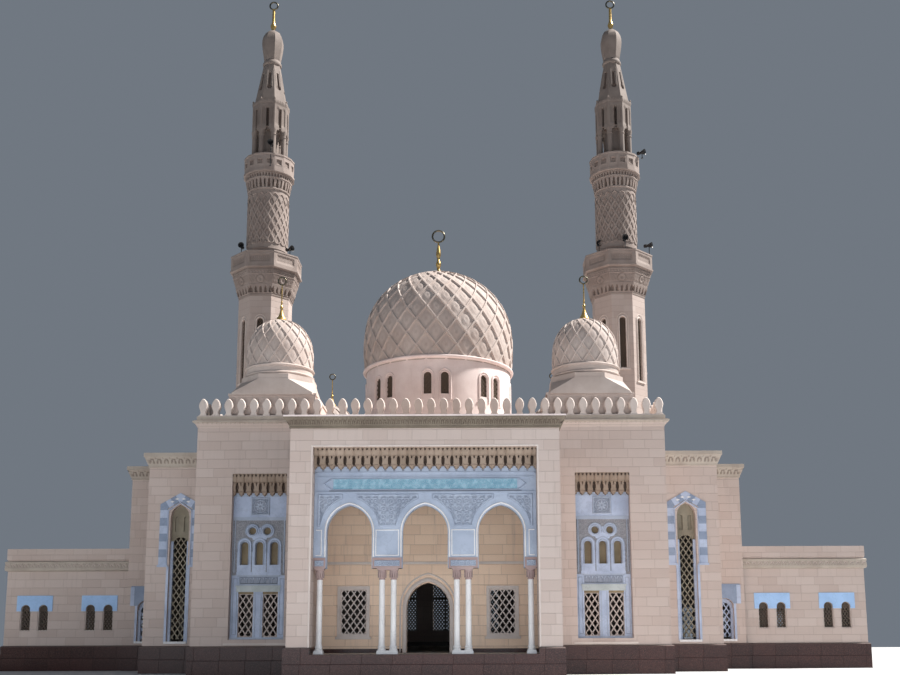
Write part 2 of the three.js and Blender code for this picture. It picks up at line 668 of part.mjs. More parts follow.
// An octagon given by its corners, with a flat side to the front.
function octagon(r) {
  return polygonPoints(r, 8, Math.PI / 8);
}

function ringOf(outline, z) {
  return outline.map(([x, y]) => [x, y, z]);
}

function minaretShaft() {
  const { base, baseTop, shaftFoot } = MINARET;
  const { r, bore, top } = LOWER_SHAFT;
  const tower = box(-base, base, -base, base, PLINTH_TOP, baseTop);
  const within = WALL + GAP;
  const foot = box(-base, base - within, -base, base - within, FLOOR, PLINTH_TOP + PAST);
  const square = rectangle(-base + 0.1, base - 0.1, -base + 0.1, base - 0.1);
  const broach = wasm.Manifold.hull([...ringOf(square, baseTop - 0.02), ...ringOf(octagon(r), shaftFoot)]);
  const shaft = slab(octagon(r), shaftFoot - 0.02, top);
  const stair = slab(octagon(bore), FLOOR - PAST, top + PAST);
  const slits = [];
  for (let i = 0; i < 8; i++) {
    const foots = i % 2 ? 16.95 : 17.7;
    const slit = plate(roundHeaded(0, 0.36, foots, 20.7), [], -2.5, -1);
    slits.push(slit.rotate([0, 0, i * 45]));
  }
  return cut(join(tower, foot, broach, shaft), stair, ...slits);
}

function sixteenSides(r) {
  return polygonPoints(r, 16);
}

// A balcony: stepped corbels that spread from the shaft, a floor and a rail.
function balcony(inner, foot, { r: out, floor, rail }, bore, outline) {
  const ring = (r, z) => ringOf(outline(r), z);
  const rise = (floor - foot) / 3;
  const spread = (out - inner) / 3;
  const body = lofted([
    ring(inner, foot), ring(inner + spread, foot + rise * 0.8), ring(inner + spread, foot + rise),
    ring(inner + spread * 2, foot + rise * 1.8), ring(inner + spread * 2, foot + rise * 2),
    ring(out, foot + rise * 2.8), ring(out, rail),
  ]);
  const well = slab(outline(out - 0.16), floor, rail + PAST);
  const stair = slab(outline(bore), foot - PAST, floor + PAST);
  return cut(body, well, stair);
}

function upperShaft() {
  const { r, bore, top } = UPPER_SHAFT;
  const foot = LOWER_BALCONY.floor;
  const sides = 16;
  const neck = 0.3;
  const profile = [
    [bore, foot], [r + 0.12, foot], [r + 0.12, foot + neck], [r, foot + neck + 0.1],
    [r, top], [bore, top], [bore, foot],
  ];
  return turned(profile, sides);
}

// The lantern: eight columns, an eight-sided screen with slots, and the cone and bulb above.
function lantern() {
  const { r, columnTop, screenTop, crownFoot } = LANTERN;
  const { neck, neckR, wide, wideR, top } = BULB;
  const foot = UPPER_BALCONY.floor;
  const outline = [
    [r - 0.2, columnTop + 0.2], [r - 0.2, columnTop], [r, columnTop],
    [r, screenTop], [crownFoot, screenTop + 0.1], [neckR + 0.04, neck - 0.35], [neckR + 0.08, neck - 0.2],
    [neckR, neck], [neckR - 0.06, neck + 0.12], [wideR * 0.86, neck + 0.7], [wideR, wide - 0.3],
    [wideR * 0.96, wide], [wideR * 0.55, top - 0.35], [0.1, top],
  ];
  const cap = lofted(outline.map(([reach, z]) => ringOf(flatOctagon(reach), z)));
  const posts = polygonPoints(r - 0.14, 8, Math.PI / 8).map(([x, y]) =>
    turned([[0, foot], [0.11, foot], [0.11, columnTop + 0.05], [0, columnTop + 0.05]], 6)
      .translate([x, y, 0]));
  const core = turned([[0, foot], [0.42, foot], [0.42, columnTop + 0.3], [0, columnTop + 0.3]], 8);
  const slot = plate(roundHeaded(0, 0.14, columnTop - 0.1, screenTop - 0.6), [], -2, -r + 0.14);
  const slots = Array.from({ length: 8 }, (_, i) => slot.rotate([0, 0, i * 45]));
  return cut(join(cap, core, ...posts), ...slots);
}

function minarets() {
  const lower = minaretShaft();
  const lowerBalcony = balcony(LOWER_SHAFT.r, LOWER_SHAFT.top, LOWER_BALCONY, UPPER_SHAFT.bore, octagon);
  const upperBalcony = balcony(UPPER_SHAFT.r, UPPER_SHAFT.top, UPPER_BALCONY, 0.3, sixteenSides);
  const stages = [
    ["shaft", "stone", lower], ["lower_balcony", "stone", lowerBalcony],
    ["upper_shaft", "stone", upperShaft()], ["upper_balcony", "stone", upperBalcony],
    ["lantern", "stone", lantern()], ["finial", "brass", finial(BULB.top, MINARET_FINIAL)],
  ];
  for (const [stage, finish, body] of stages) {
    const right = body.translate([MINARET.x, MINARET.y, 0]);
    place("right_minaret_" + stage, finish, right);
    place("left_minaret_" + stage, finish, mirrored(right));
  }
}

plinth();
floorSlab();
hallWalls();
nichePanels();
hallRoof();
parapets();
portalWalls();
portalRoofs();
porticoBackWall();
arcade();
portalCornice();
columns();
aisleWalls();
aisleRoofs();
wings();
greatDrum();
greatDome();
smallDomes();
minarets();

export default building;
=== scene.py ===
import json
from math import atan2, cos, degrees, hypot, pi, radians, sin, tan

import bmesh
import bpy
import numpy as np
from mathutils import Matrix, Vector


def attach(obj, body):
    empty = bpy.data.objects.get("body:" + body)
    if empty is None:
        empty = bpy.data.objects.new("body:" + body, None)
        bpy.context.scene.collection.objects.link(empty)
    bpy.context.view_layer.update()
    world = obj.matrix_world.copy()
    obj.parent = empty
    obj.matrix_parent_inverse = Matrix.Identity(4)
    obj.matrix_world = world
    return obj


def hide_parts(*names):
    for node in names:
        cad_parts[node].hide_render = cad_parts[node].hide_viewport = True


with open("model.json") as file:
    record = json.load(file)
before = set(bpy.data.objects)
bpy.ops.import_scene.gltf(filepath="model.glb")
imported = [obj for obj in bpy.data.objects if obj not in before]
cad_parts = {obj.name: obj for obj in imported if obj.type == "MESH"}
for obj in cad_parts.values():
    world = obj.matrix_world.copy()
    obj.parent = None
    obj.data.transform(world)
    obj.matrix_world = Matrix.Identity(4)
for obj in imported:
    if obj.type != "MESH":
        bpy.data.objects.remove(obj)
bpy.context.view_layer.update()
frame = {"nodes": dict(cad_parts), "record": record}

# Sizes are metres of the real building, with the origin on the ground below the great dome.
# MODEL brings them to the scale of the model.
MODEL = 0.5
TURN = 2 * pi

# Levels and plan, as the walls have them
FLOOR = 0.95
PLINTH_TOP = 1.2
HALL_X, HALL_Y = 10.15, 11.0
HALL_ROOF = 10.87
PARAPET_BASE = 11.08
PORTAL_X, PORTAL_Y = 5.0, 17.4
AISLE_X, AISLE_Y = 13.0, 8.3
BAY_X, BAY_Y = 15.0, 4.5
WING_X, WING_Y = 21.0, 4.2
MINARET_X, MINARET_Y = 11.1, 7.6
MINARET_BASE = 1.9
ARCADE_FACE = 16.85
MERLON_THICK = 0.26
TEETH_FOOT = 11.11
TEETH_APART = 0.547
TIERS_APART = 0.333  # between the hanging tips over the arcade
PORTICO_FACE = -PORTAL_Y + 3.5
LOWER_SHAFT = 1.552  # from a minaret's axis to the flat sides of its lower shaft
NICHE_X, NICHE_FACE = 7.39, -HALL_Y + 0.35
AISLE_WINDOW_X, BAY_WINDOW_X = 11.52, 14.05
WING_WINDOWS_X = (16.42, 19.58)

COURSE = 0.4  # height of a course of stones
BLOCK = 0.92  # usual length of a stone


def grid_faces(columns, rows):
    """Faces between the corners of a grid that is listed column by column."""
    return [(i * rows + j, (i + 1) * rows + j, (i + 1) * rows + j + 1, i * rows + j + 1)
            for i in range(columns - 1) for j in range(rows - 1)]


def round_axis(r, angle, z):
    """Corners at a distance and an angle round an upright axis."""
    return np.stack([r * np.cos(angle), r * np.sin(angle), z + 0 * angle], -1)


class Carving:
    """The corners and faces of one piece, in metres of the real building.

    Each corner also has a share of dust and painted shade, from 0 on open faces to 1 deep in the hollows."""

    def __init__(self):
        self.corners = []
        self.dust_and_shade = []
        self.faces = []
        self.count = 0

    def add(self, corners, faces, dust_and_shade=0.0):
        corners = np.asarray(corners, float).reshape(-1, 3)
        self.corners.append(corners)
        self.dust_and_shade.append(np.zeros(len(corners)) + np.ravel(dust_and_shade))
        self.faces.extend([tuple(int(i) + self.count for i in face) for face in faces])
        self.count += len(corners)
        return self

    def points(self):
        return np.concatenate(self.corners)

    def dust_and_shade_shares(self):
        return np.concatenate(self.dust_and_shade)

    def take(self, other, move=(0, 0, 0), turn=0.0, flip_x=False, flip_y=False):
        """Adds a copy of another carving, mirrored, then turned about Z, then moved."""
        x, y, z = other.points().T
        x, y = x * (1 - 2 * flip_x), y * (1 - 2 * flip_y)
        c, s = cos(turn), sin(turn)
        corners = np.stack([x * c - y * s, x * s + y * c, z], 1) + np.asarray(move, float)
        return self.add(corners, other.faces, other.dust_and_shade_shares())

    def around(self, other, count, first=0.0):
        """Adds copies of a carving at equal turns about the middle; first is in degrees."""
        for i in range(count):
            self.take(other, turn=radians(first) + i * TURN / count)
        return self

    def bent(self, radius):
        """The same carving bent round an upright axis, from a flat one drawn facing -Y."""
        x, y, z = self.points().T
        corners = round_axis(radius - y, x / radius - pi / 2, z)
        return Carving().add(corners, self.faces, self.dust_and_shade_shares())

    def block(self, x, y, z, dust_and_shade=0.0):
        """A squared stone between pairs of limits along X, Y and Z."""
        corners = [(a, b, c) for c in z for b in y for a in x]
        faces = [(0, 2, 3, 1), (4, 5, 7, 6), (0, 1, 5, 4), (2, 6, 7, 3), (0, 4, 6, 2), (1, 3, 7, 5)]
        return self.add(corners, faces, dust_and_shade)

    def twins(self, x, y, z):
        """A squared stone and its mirror image across X = 0."""
        for side in (-1, 1):
            self.block(sorted((side * x[0], side * x[1])), y, z)
        return self

    def prism(self, outline, y0, y1):
        """A plate drawn in X and Z, with its thickness along Y."""
        count = len(outline)
        corners = [(x, y, z) for y in (y0, y1) for x, z in outline]
        sides = [(i, (i + 1) % count, count + (i + 1) % count, count + i) for i in range(count)]
        return self.add(corners, [tuple(range(count))[::-1], tuple(range(count, 2 * count))] + sides)

    def loft(self, rings, caps=True):
        """A skin through closed rings of equal corner count."""
        grid = np.asarray(rings, float)
        rows, count = grid.shape[:2]
        faces = []
        for low in range(0, (rows - 1) * count, count):
            for i in range(count):
                j = (i + 1) % count
                faces.append((low + i, low + j, low + count + j, low + count + i))
        if caps:
            faces.append(tuple(range(count))[::-1])
            faces.append(tuple(range((rows - 1) * count, rows * count)))
        return self.add(grid, faces)

    def lathe(self, profile, sides=32, at=(0, 0)):
        """A turned form about an upright axis, from a profile of [radius, height]."""
        angles = np.arange(sides) * TURN / sides
        return self.loft([round_axis(r, angles, z) + (*at, 0) for r, z in profile])

    def moulding(self, path, section, closed=False):
        """A strip along a path drawn in X and Z. Its section gives [sideways, Y] points."""
        path = np.asarray(path, float)
        ahead = np.roll(path, -1, 0) - path
        if not closed:
            ahead[-1] = ahead[-2]
        ahead /= np.linalg.norm(ahead, axis=1)[:, None]
        behind = np.roll(ahead, 1, 0)
        if not closed:
            behind[0] = ahead[0]
        side_a = np.stack([-ahead[:, 1], ahead[:, 0]], 1)
        side_b = np.stack([-behind[:, 1], behind[:, 0]], 1)
        mitre = side_a + side_b
        mitre /= np.maximum((mitre * side_a).sum(1), 0.35)[:, None]
        rings = []
        for out, y in section:
            line = path + mitre * out
            rings.append(np.stack([line[:, 0], np.full(len(line), y), line[:, 1]], 1))
        rings = np.transpose(np.asarray(rings), (1, 0, 2))
        if closed:
            rings = np.concatenate([rings, rings[:1]])
        return self.loft(rings, caps=not closed)

    def sheet(self, us, vs, carve, y=0.0, sink=0.03, mitred=False, gaps=None):
        """A carved face drawn in X and Z.

        carve(u, v) gives how far it stands out from the plane at y, and its share of dust and painted shade.
        Its edges run back into the wall, or meet their neighbours at a mitred corner.
        It is left open wherever gaps(u, v) holds."""
        u, v = np.meshgrid(us, vs, indexing="ij")
        out, grime_and_shade = (grid + 0 * u for grid in carve(u, v))
        if mitred:
            u[0] -= out[0]
            u[-1] += out[-1]
        else:
            u, v, out, grime_and_shade = (np.pad(grid, ((1, 1), (0, 0)), mode="edge") for grid in (u, v, out, grime_and_shade))
            out[[0, -1]] = -sink
        u, v, out, grime_and_shade = (np.pad(grid, ((0, 0), (1, 1)), mode="edge") for grid in (u, v, out, grime_and_shade))
        out[:, [0, -1]] = -sink
        faces = grid_faces(*u.shape)
        if gaps:
            open_here = gaps(u, v).reshape(-1)
            faces = [face for face in faces if not all(open_here[corner] for corner in face)]
        return self.add(np.stack([u, y - out, v], -1), faces, grime_and_shade)


def unit(value):
    """The value kept between 0 and 1."""
    return np.clip(value, 0, 1)


def within(value, low, high):
    return (value > low) & (value < high)


def hump(value, width):
    """1 where the value is 0, and falling off smoothly to both sides."""
    return np.exp(-(value / width) ** 2)


def near(value, pitch, shift=0.0):
    """Distance from the nearest of the places that lie a pitch apart."""
    return np.abs(np.mod((value - shift) / pitch + 0.5, 1) - 0.5) * pitch


def spaced(low, high, step):
    """Evenly spaced places from low to high, about a step apart."""
    return np.linspace(low, high, max(2, round((high - low) / step) + 1))


def arch_line(centre, width, foot, spring, apex, steps=10):
    """A window's outline from its left foot, over its head, to its right foot, in X and Z."""
    half = width / 2
    rise = apex - spring
    inset = (rise * rise - half * half) / (2 * half) if rise > half else 0.0
    radius = half + inset
    sweep = atan2(rise, inset) if rise > half else pi / 2
    height = radius if rise > half else rise
    side = [
        (radius * cos(sweep * i / steps) - inset, spring + height * sin(sweep * i / steps))
        for i in range(steps + 1)
    ]
    left = [(centre - u, z) for u, z in side]
    right = [(centre + u, z) for u, z in side[:-1]][::-1]
    return [(centre - half, foot)] + left + right + [(centre + half, foot)]


def circle_line(centre, height, radius, steps=28):
    angles = np.arange(steps) * TURN / steps
    return [(centre + radius * cos(a), height + radius * sin(a)) for a in angles]


def rectangle(x0, x1, z0, z1):
    return [(x0, z0), (x1, z0), (x1, z1), (x0, z1)]


def bead(half, back, front):
    """The section of a rounded raised strip, from its left foot to its right foot."""
    return [(-half, back), (-half * 0.7, front * 0.75 + back * 0.25), (0, front),
            (half * 0.7, front * 0.75 + back * 0.25), (half, back)]


def fillet(half, back, front):
    """The section of a squared raised strip."""
    return [(-half, back), (-half, front), (half, front), (half, back)]


def clipped(start, end, outline):
    """The part of a line inside an outline that has no hollows and runs anticlockwise."""
    low, high = 0.0, 1.0
    step = (end[0] - start[0], end[1] - start[1])
    for (ax, az), (bx, bz) in zip(outline, outline[1:] + outline[:1]):
        edge = (bx - ax, bz - az)
        inside = edge[0] * (start[1] - az) - edge[1] * (start[0] - ax)
        pace = edge[0] * step[1] - edge[1] * step[0]
        if abs(pace) < 1e-9:
            if inside < 0:
                return None
        elif pace > 0:
            low = max(low, -inside / pace)
        else:
            high = min(high, -inside / pace)
    if high - low < 1e-3:
        return None
    return [(start[0] + step[0] * t, start[1] + step[1] * t) for t in (low, high)]


def lattice(carving, outline, across, up, bar, y0, y1):
    """Crossing slanted bars that fill an outline with diamonds."""
    xs, zs = zip(*outline)
    x0, x1, z0, z1 = min(xs), max(xs), min(zs), max(zs)
    slope = up / across
    reach = (x1 - x0) * slope
    for side in (1, -1):
        base = z0 - (reach if side > 0 else 0)
        count = int((z1 - z0 + reach) / up) + 2
        for i in range(count):
            z = base + (i + 0.5) * up
            start, end = (x0, z), (x1, z + side * reach)
            line = clipped(start, end, outline)
            if line:
                middle = (y0 + y1) / 2 + side * (y1 - y0) * 0.12
                thick = (y1 - y0) * 0.38
                carving.moulding(line, [(-bar, middle + thick), (-bar, middle - thick),
                                        (bar, middle - thick), (bar, middle + thick)])


def linked(name, data):
    """A new object in the scene."""
    made = bpy.data.objects.new(name, data)
    bpy.context.scene.collection.objects.link(made)
    return made


def joined(name, carving):
    """A mesh object made from a carving, with its faces turned outwards."""
    mesh = bpy.data.meshes.new(name)
    mesh.from_pydata((carving.points() * MODEL).tolist(), [], carving.faces)
    mesh.attributes.new("dust_and_shade", "FLOAT", "POINT").data.foreach_set("value", carving.dust_and_shade_shares())
    work = bmesh.new()
    work.from_mesh(mesh)
    bmesh.ops.remove_doubles(work, verts=work.verts, dist=0.00005)
    bmesh.ops.dissolve_degenerate(work, edges=work.edges, dist=0.00001)
    bmesh.ops.recalc_face_normals(work, faces=work.faces)
    work.to_mesh(mesh)
    work.free()
    return linked(name, mesh)


def pierced(carving, openings):
    """The carving with the solids of another one taken out of it."""
    body, tool = joined("body", carving), joined("tool", openings)
    change = body.modifiers.new("openings", "BOOLEAN")
    change.operation = "DIFFERENCE"
    change.solver = "EXACT"
    change.object = tool
    whole = body.evaluated_get(bpy.context.evaluated_depsgraph_get()).to_mesh()
    corners = [tuple(vertex.co / MODEL) for vertex in whole.vertices]
    faces = [tuple(face.vertices) for face in whole.polygons]
    for rough in (body, tool):
        mesh = rough.data
        bpy.data.objects.remove(rough)
        bpy.data.meshes.remove(mesh)
    return Carving().add(corners, faces)


def piece(name, carving, finish, replaces=(), crease=32):
    """Turns a carving into a named object that rides on the building."""
    material, slot = FINISHES[finish]
    made = joined(name, carving)
    made.data.shade_smooth()
    made.data.set_sharp_from_angle(angle=radians(crease))
    made.data.materials.append(material)
    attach(made, "root")
    if replaces:
        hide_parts(*replaces)
    return made


# Finishes, each a material and the slot that it belongs to
FINISHES = {}


class Signal:
    """A value in a material's nodes, with the operators that the finishes use."""

    def __init__(self, works, socket):
        self.works = works
        self.socket = socket

    def other(self, name):
        return Signal(self.works, self.socket.node.outputs[name])

    def maths(self, operation, *rest):
        inputs = dict(enumerate((self, *rest)))
        return self.works.node("ShaderNodeMath", {"operation": operation}, inputs)

    def __add__(self, value):
        return self.maths("ADD", value)

    __radd__ = __add__

    def __mul__(self, value):
        return self.maths("MULTIPLY", value)

    __rmul__ = __mul__

    def __sub__(self, value):
        return self.maths("SUBTRACT", value)

    def __rsub__(self, value):
        return self.works.node("ShaderNodeMath", {"operation": "SUBTRACT"}, {0: value, 1: self})

    def __truediv__(self, value):
        return self.maths("DIVIDE", value)

    def __gt__(self, value):
        return self.maths("GREATER_THAN", value)

    def floor(self):
        return self.maths("FLOOR")

    def part(self):
        return self.maths("FRACT")

    def size(self):
        return self.maths("ABSOLUTE")

    def most(self, value):
        return self.maths("MAXIMUM", value)

    def ramp(self, low, high, to_low=0.0, to_high=1.0):
        """Rises smoothly from to_low to to_high as the value goes from low to high."""
        settings = {"interpolation_type": "SMOOTHSTEP"}
        limits = {"From Min": low, "From Max": high, "To Min": to_low, "To Max": to_high}
        return self.works.node("ShaderNodeMapRange", settings, {"Value": self, **limits})


class Finish:
    """The nodes of one material."""

    def __init__(self, name, slot=None):
        self.material = bpy.data.materials.new(name)
        FINISHES[name] = (self.material, slot)
        self.material.use_nodes = True
        self.tree = self.material.node_tree
        self.tree.nodes.clear()
        self.place = self.node("ShaderNodeTexCoord", output="Object")
        across = self.node("ShaderNodeSeparateXYZ", inputs={0: self.place})
        self.x, self.y, self.z = across, across.other("Y"), across.other("Z")

    def node(self, kind, settings=None, inputs=None, output=0):
        made = self.tree.nodes.new(kind)
        for key, value in (settings or {}).items():
            setattr(made, key, value)
        for key, value in (inputs or {}).items():
            if isinstance(value, Signal):
                self.tree.links.new(value.socket, made.inputs[key])
            else:
                made.inputs[key].default_value = value
        return Signal(self, None if output is None else made.outputs[output])

    def stretched(self, scale):
        """The place on the model, scaled along each axis."""
        return self.node("ShaderNodeVectorMath", {"operation": "MULTIPLY"}, {0: self.place, 1: scale})

    def noise(self, scale, detail=3.0, rough=0.55, at=None):
        inputs = {"Vector": at or self.place, "Scale": scale, "Detail": detail, "Roughness": rough}
        return self.node("ShaderNodeTexNoise", inputs=inputs)

    def rain(self):
        """Faint upright streaks that rain leaves on a wall."""
        streaks = self.noise(3.0, 4.0, 0.6, self.stretched((3.0, 3.0, 0.22)))
        return streaks.ramp(0.52, 0.8)

    def chance(self, seed):
        """A random value from 0 to 1 that is the same wherever the seed is."""
        return self.node("ShaderNodeTexWhiteNoise", {"noise_dimensions": "1D"}, {"W": seed})

    def blend(self, share, first, second):
        """A colour between two others."""
        ends = [colour if isinstance(colour, Signal) else (*colour, 1.0) for colour in (first, second)]
        settings = {"data_type": "RGBA", "clamp_factor": True}
        return self.node("ShaderNodeMix", settings, {0: share, 6: ends[0], 7: ends[1]}, output=2)

    def dust_and_shade(self):
        """The share of dust and painted shade that the carving left at each corner of a piece."""
        return self.node("ShaderNodeAttribute", {"attribute_name": "dust_and_shade"}, output="Fac")

    def facing(self):
        """How squarely the surface faces along X, from 0 to 1, and upwards, from -1 to 1."""
        normal = self.node("ShaderNodeTexCoord", output="Normal")
        parts = self.node("ShaderNodeSeparateXYZ", inputs={0: normal})
        return parts.size(), parts.other("Z")

    def along_wall(self, side):
        """The distance along a wall, whichever of its two ways it faces."""
        sideways = side > 0.72
        return self.x * (1 - sideways) + self.y * sideways

    def close(self, colour, roughness, height=None, depth=0.01, fixed=None):
        """Ends the material in one shader, with a bump of the given depth in metres."""
        inputs = {"Base Color": colour, "Roughness": roughness}
        if height is not None:
            bump = {"Height": height, "Distance": depth, "Strength": 1.0}
            inputs["Normal"] = self.node("ShaderNodeBump", inputs=bump)
        inputs.update(fixed or {})
        shader = self.node("ShaderNodeBsdfPrincipled", inputs=inputs)
        self.node("ShaderNodeOutputMaterial", inputs={"Surface": shader}, output=None)


WARM_STONE = (0.50, 0.40, 0.355)
PALE_STONE = (0.58, 0.485, 0.44)
DUSKY_STONE = (0.40, 0.325, 0.29)
JOINT = (0.29, 0.23, 0.20)


def stone_colour(works, tone, tint):
    """The stone's own colour: a tone for each stone, soft clouds and fine grain."""
    clouds = works.noise(1.3, 4.0)
    warm, pale = (np.multiply(tint, colour) for colour in (WARM_STONE, PALE_STONE))
    body = works.blend(tone * 0.7 + clouds * 0.3, warm, pale)
    grain = works.noise(60.0, 3.0, 0.7)
    body = works.blend(grain.ramp(0.52, 0.75) * 0.35, body, DUSKY_STONE)
    return works.blend(works.rain() * 0.35, body, DUSKY_STONE)


def joints(works, along, up, course=COURSE * MODEL, length=BLOCK * MODEL, width=0.009):
    """Where the joints of a coursed wall lie, and a random tone for each stone."""
    level = up / course
    row = level.floor()
    reach = along / length + works.chance(row) * 7.0
    stone = reach.floor()
    tone = works.chance(row * 31.7 + stone * 3.1)
    bed, end = ((place.part() - 0.5).size().ramp(0.5 - width / size, 0.5 - 0.4 * width / size)
                for place, size in ((level, course), (reach, length)))
    return bed.most(end * 0.75), tone


def close_ashlar(works, joint, tone, tint):
    """Ends the material of a coursed wall: its stones, their joints and a rough face."""
    colour = works.blend(joint * 0.34, stone_colour(works, tone, tint), JOINT)
    height = 1 - joint + works.noise(45.0, 4.0, 0.65) * 0.35
    works.close(colour, 0.82 + joint * 0.1, height, 0.003)


def ashlar_wall(name, tint=(1.0, 1.0, 1.0)):
    """Coursed stone on flat walls, laid as paving where the surface lies level."""
    works = Finish(name, "stone")
    side, level = works.facing()
    flat = level.size() > 0.8
    up = works.z * (1 - flat) + works.y * flat
    close_ashlar(works, *joints(works, works.along_wall(side), up), tint)


def round_ashlar(name, x, y, around):
    """Coursed stone that runs round an upright axis, with a whole number of stones a course."""
    works = Finish(name, "stone")
    angle = (works.y - y * MODEL).maths("ARCTAN2", works.x - x * MODEL)
    joint, tone = joints(works, angle * (around / TURN), works.z, length=1.0)
    close_ashlar(works, joint, tone, (0.88, 0.88, 0.88))


def plain_stone(name, warm, pale, dusk, rain=0.35):
    """Smooth dressed stone without joints, between two tones, with rain marks, and dust and painted shade
    darkening the hollows.
    """
    works = Finish(name, "stone")
    tone = works.noise(2.2, 3.0).ramp(0.3, 0.7)
    grain = works.noise(60.0, 3.0, 0.7)
    body = works.blend(tone, warm, pale)
    body = works.blend(grain.ramp(0.52, 0.75) * 0.3, body, dusk)
    body = works.blend(works.rain() * rain, body, dusk)
    # Dust and painted shade darken the hollows of the carving.
    body = works.blend(works.dust_and_shade() * 0.85, body, (0.11, 0.075, 0.06))
    height = works.noise(50.0, 4.0, 0.65)
    works.close(body, 0.84 - height * 0.06, height, 0.0016)


def marble(name, low, high, vein_colour):
    """Honed marble with soft clouds and veins."""
    works = Finish(name, "marble")
    clouds = works.noise(2.0, 5.0)
    vein = (works.noise(3.4, 6.0, 0.6) - 0.5).size().ramp(0.0, 0.03, 1.0, 0.0)
    body = works.blend(clouds.ramp(0.3, 0.7), low, high)
    colour = works.blend(vein * 0.25, body, vein_colour)
    # Dust and painted shade darken the hollows of the carving.
    colour = works.blend(works.dust_and_shade() * 0.85, colour, (0.10, 0.10, 0.12))
    grain = works.noise(80.0, 2.0)
    works.close(colour, 0.42 + clouds * 0.12, grain, 0.0008)


def red_granite():
    """Dark red granite slabs, polished, with black and pink grains."""
    works = Finish("red_granite", "granite")
    side, level = works.facing()
    joint, tone = joints(works, works.along_wall(side), works.z, 0.3, 0.55, 0.006)
    grains = works.node("ShaderNodeTexVoronoi", inputs={"Vector": works.place, "Scale": 130.0})
    speck = works.node("ShaderNodeSeparateColor", inputs={0: grains.other("Color")})
    body = works.blend(tone, (0.04, 0.016, 0.014), (0.065, 0.026, 0.022))
    body = works.blend((speck > 0.72) * 0.6, body, (0.12, 0.06, 0.052))
    body = works.blend((speck.other("Green") > 0.78) * 0.8, body, (0.02, 0.015, 0.015))
    # Faces that look upwards turn paler and rougher: dust on them, and a painted highlight on the sunlit
    # tops.
    top = level.ramp(0.3, 0.8)
    body = works.blend(top * 0.5, body, (0.26, 0.21, 0.19))
    colour = works.blend(joint, body, (0.03, 0.015, 0.015))
    fixed = {"Specular IOR Level": 0.2}
    works.close(colour, 0.3 + top * 0.35 + joint * 0.3, 1 - joint, 0.003, fixed)


def floor_paving():
    """Pale stone slabs underfoot."""
    works = Finish("floor_paving", "paving")
    joint, tone = joints(works, works.x, works.y, 0.4, 0.4, 0.006)
    body = works.blend(tone * 0.6 + works.noise(3.0) * 0.4, (0.50, 0.46, 0.41), (0.62, 0.58, 0.52))
    colour = works.blend(joint * 0.7, body, (0.3, 0.27, 0.24))
    works.close(colour, 0.55 + joint * 0.3, 1 - joint, 0.003)


def metal(name, bright, dull):
    """Metal that is bright in places and dull in others."""
    works = Finish(name, "brass")
    worn = works.noise(14.0, 4.0, 0.6).ramp(0.4, 0.65)
    colour = works.blend(worn, bright, dull)
    works.close(colour, 0.26 + worn * 0.3, works.noise(60.0), 0.0006, {"Metallic": 1.0})


def dark_lattice():
    """Dark stained wood of the window lattices."""
    works = Finish("dark_lattice", "lattice")
    grain = works.noise(20.0, 4.0, 0.6, works.stretched((8.0, 8.0, 1.0)))
    colour = works.blend(grain, (0.07, 0.05, 0.035), (0.14, 0.10, 0.07))
    works.close(colour, 0.5 + grain * 0.2, grain, 0.0015)


def glazed_turquoise():
    """Turquoise glaze, darker in soft random patches."""
    works = Finish("glazed_turquoise", "turquoise")
    pool = works.noise(9.0, 4.0).ramp(0.35, 0.7)
    colour = works.blend(pool, (0.16, 0.33, 0.43), (0.31, 0.50, 0.59))
    works.close(colour, 0.2 + pool * 0.12, works.noise(30.0), 0.0015)


def black_paint():
    """Satin black paint on metal."""
    works = Finish("black_paint", "equipment")
    wear = works.noise(25.0, 3.0)
    colour = works.blend(wear, (0.012, 0.012, 0.014), (0.03, 0.03, 0.032))
    works.close(colour, 0.38 + wear * 0.2, wear, 0.0008)


def stage_floor():
    """A plain pale floor with the faintest mottling."""
    works = Finish("stage_floor")
    mottle = works.noise(0.15, 2.0)
    colour = works.blend(mottle, (0.48, 0.48, 0.48), (0.52, 0.52, 0.52))
    works.close(colour, 0.8 + mottle * 0.05)


ashlar_wall("coursed_stone")
# A paler, warmer coursed stone: painted light for the warm glow that falls into the portico.
ashlar_wall("painted_light_coursed_stone", (1.6, 1.45, 1.2))
for tones in (
    # Name, low tone, high tone, colour of its marks, and for some their strength
    ("carved_stone", (0.46, 0.38, 0.34), (0.53, 0.455, 0.415), DUSKY_STONE),
    ("pale_carved_stone", (0.60, 0.52, 0.475), (0.68, 0.60, 0.55), WARM_STONE, 0.25),
    ("bright_stone", (0.76, 0.64, 0.61), (0.85, 0.74, 0.71), WARM_STONE, 0.2),
    ("cornice_stone", (0.39, 0.33, 0.28), (0.47, 0.41, 0.35), (0.27, 0.22, 0.18)),
    ("dark_carved_stone", (0.15, 0.12, 0.09), (0.20, 0.165, 0.125), (0.11, 0.08, 0.06)),
    ("honey_stone", (0.27, 0.20, 0.15), (0.36, 0.275, 0.215), (0.2, 0.15, 0.1)),
    # The stones of the upper minaret stages are darker than the rest: painted shade for the dimmer light
    # high up, darkest on the lantern.
    ("painted_shade_upper_stone", (0.27, 0.215, 0.19), (0.33, 0.27, 0.24), (0.2, 0.16, 0.14)),
    ("painted_shade_lantern_stone", (0.20, 0.16, 0.14), (0.25, 0.205, 0.18), (0.14, 0.11, 0.1)),
    ("mauve_stone", (0.33, 0.235, 0.225), (0.43, 0.32, 0.30), (0.2, 0.14, 0.14)),
    ("ochre_stone", (0.20, 0.15, 0.09), (0.30, 0.23, 0.14), (0.1, 0.07, 0.04)),
    ("olive_stone", (0.22, 0.19, 0.14), (0.30, 0.265, 0.20), (0.14, 0.12, 0.09)),
):
    plain_stone(*tones)
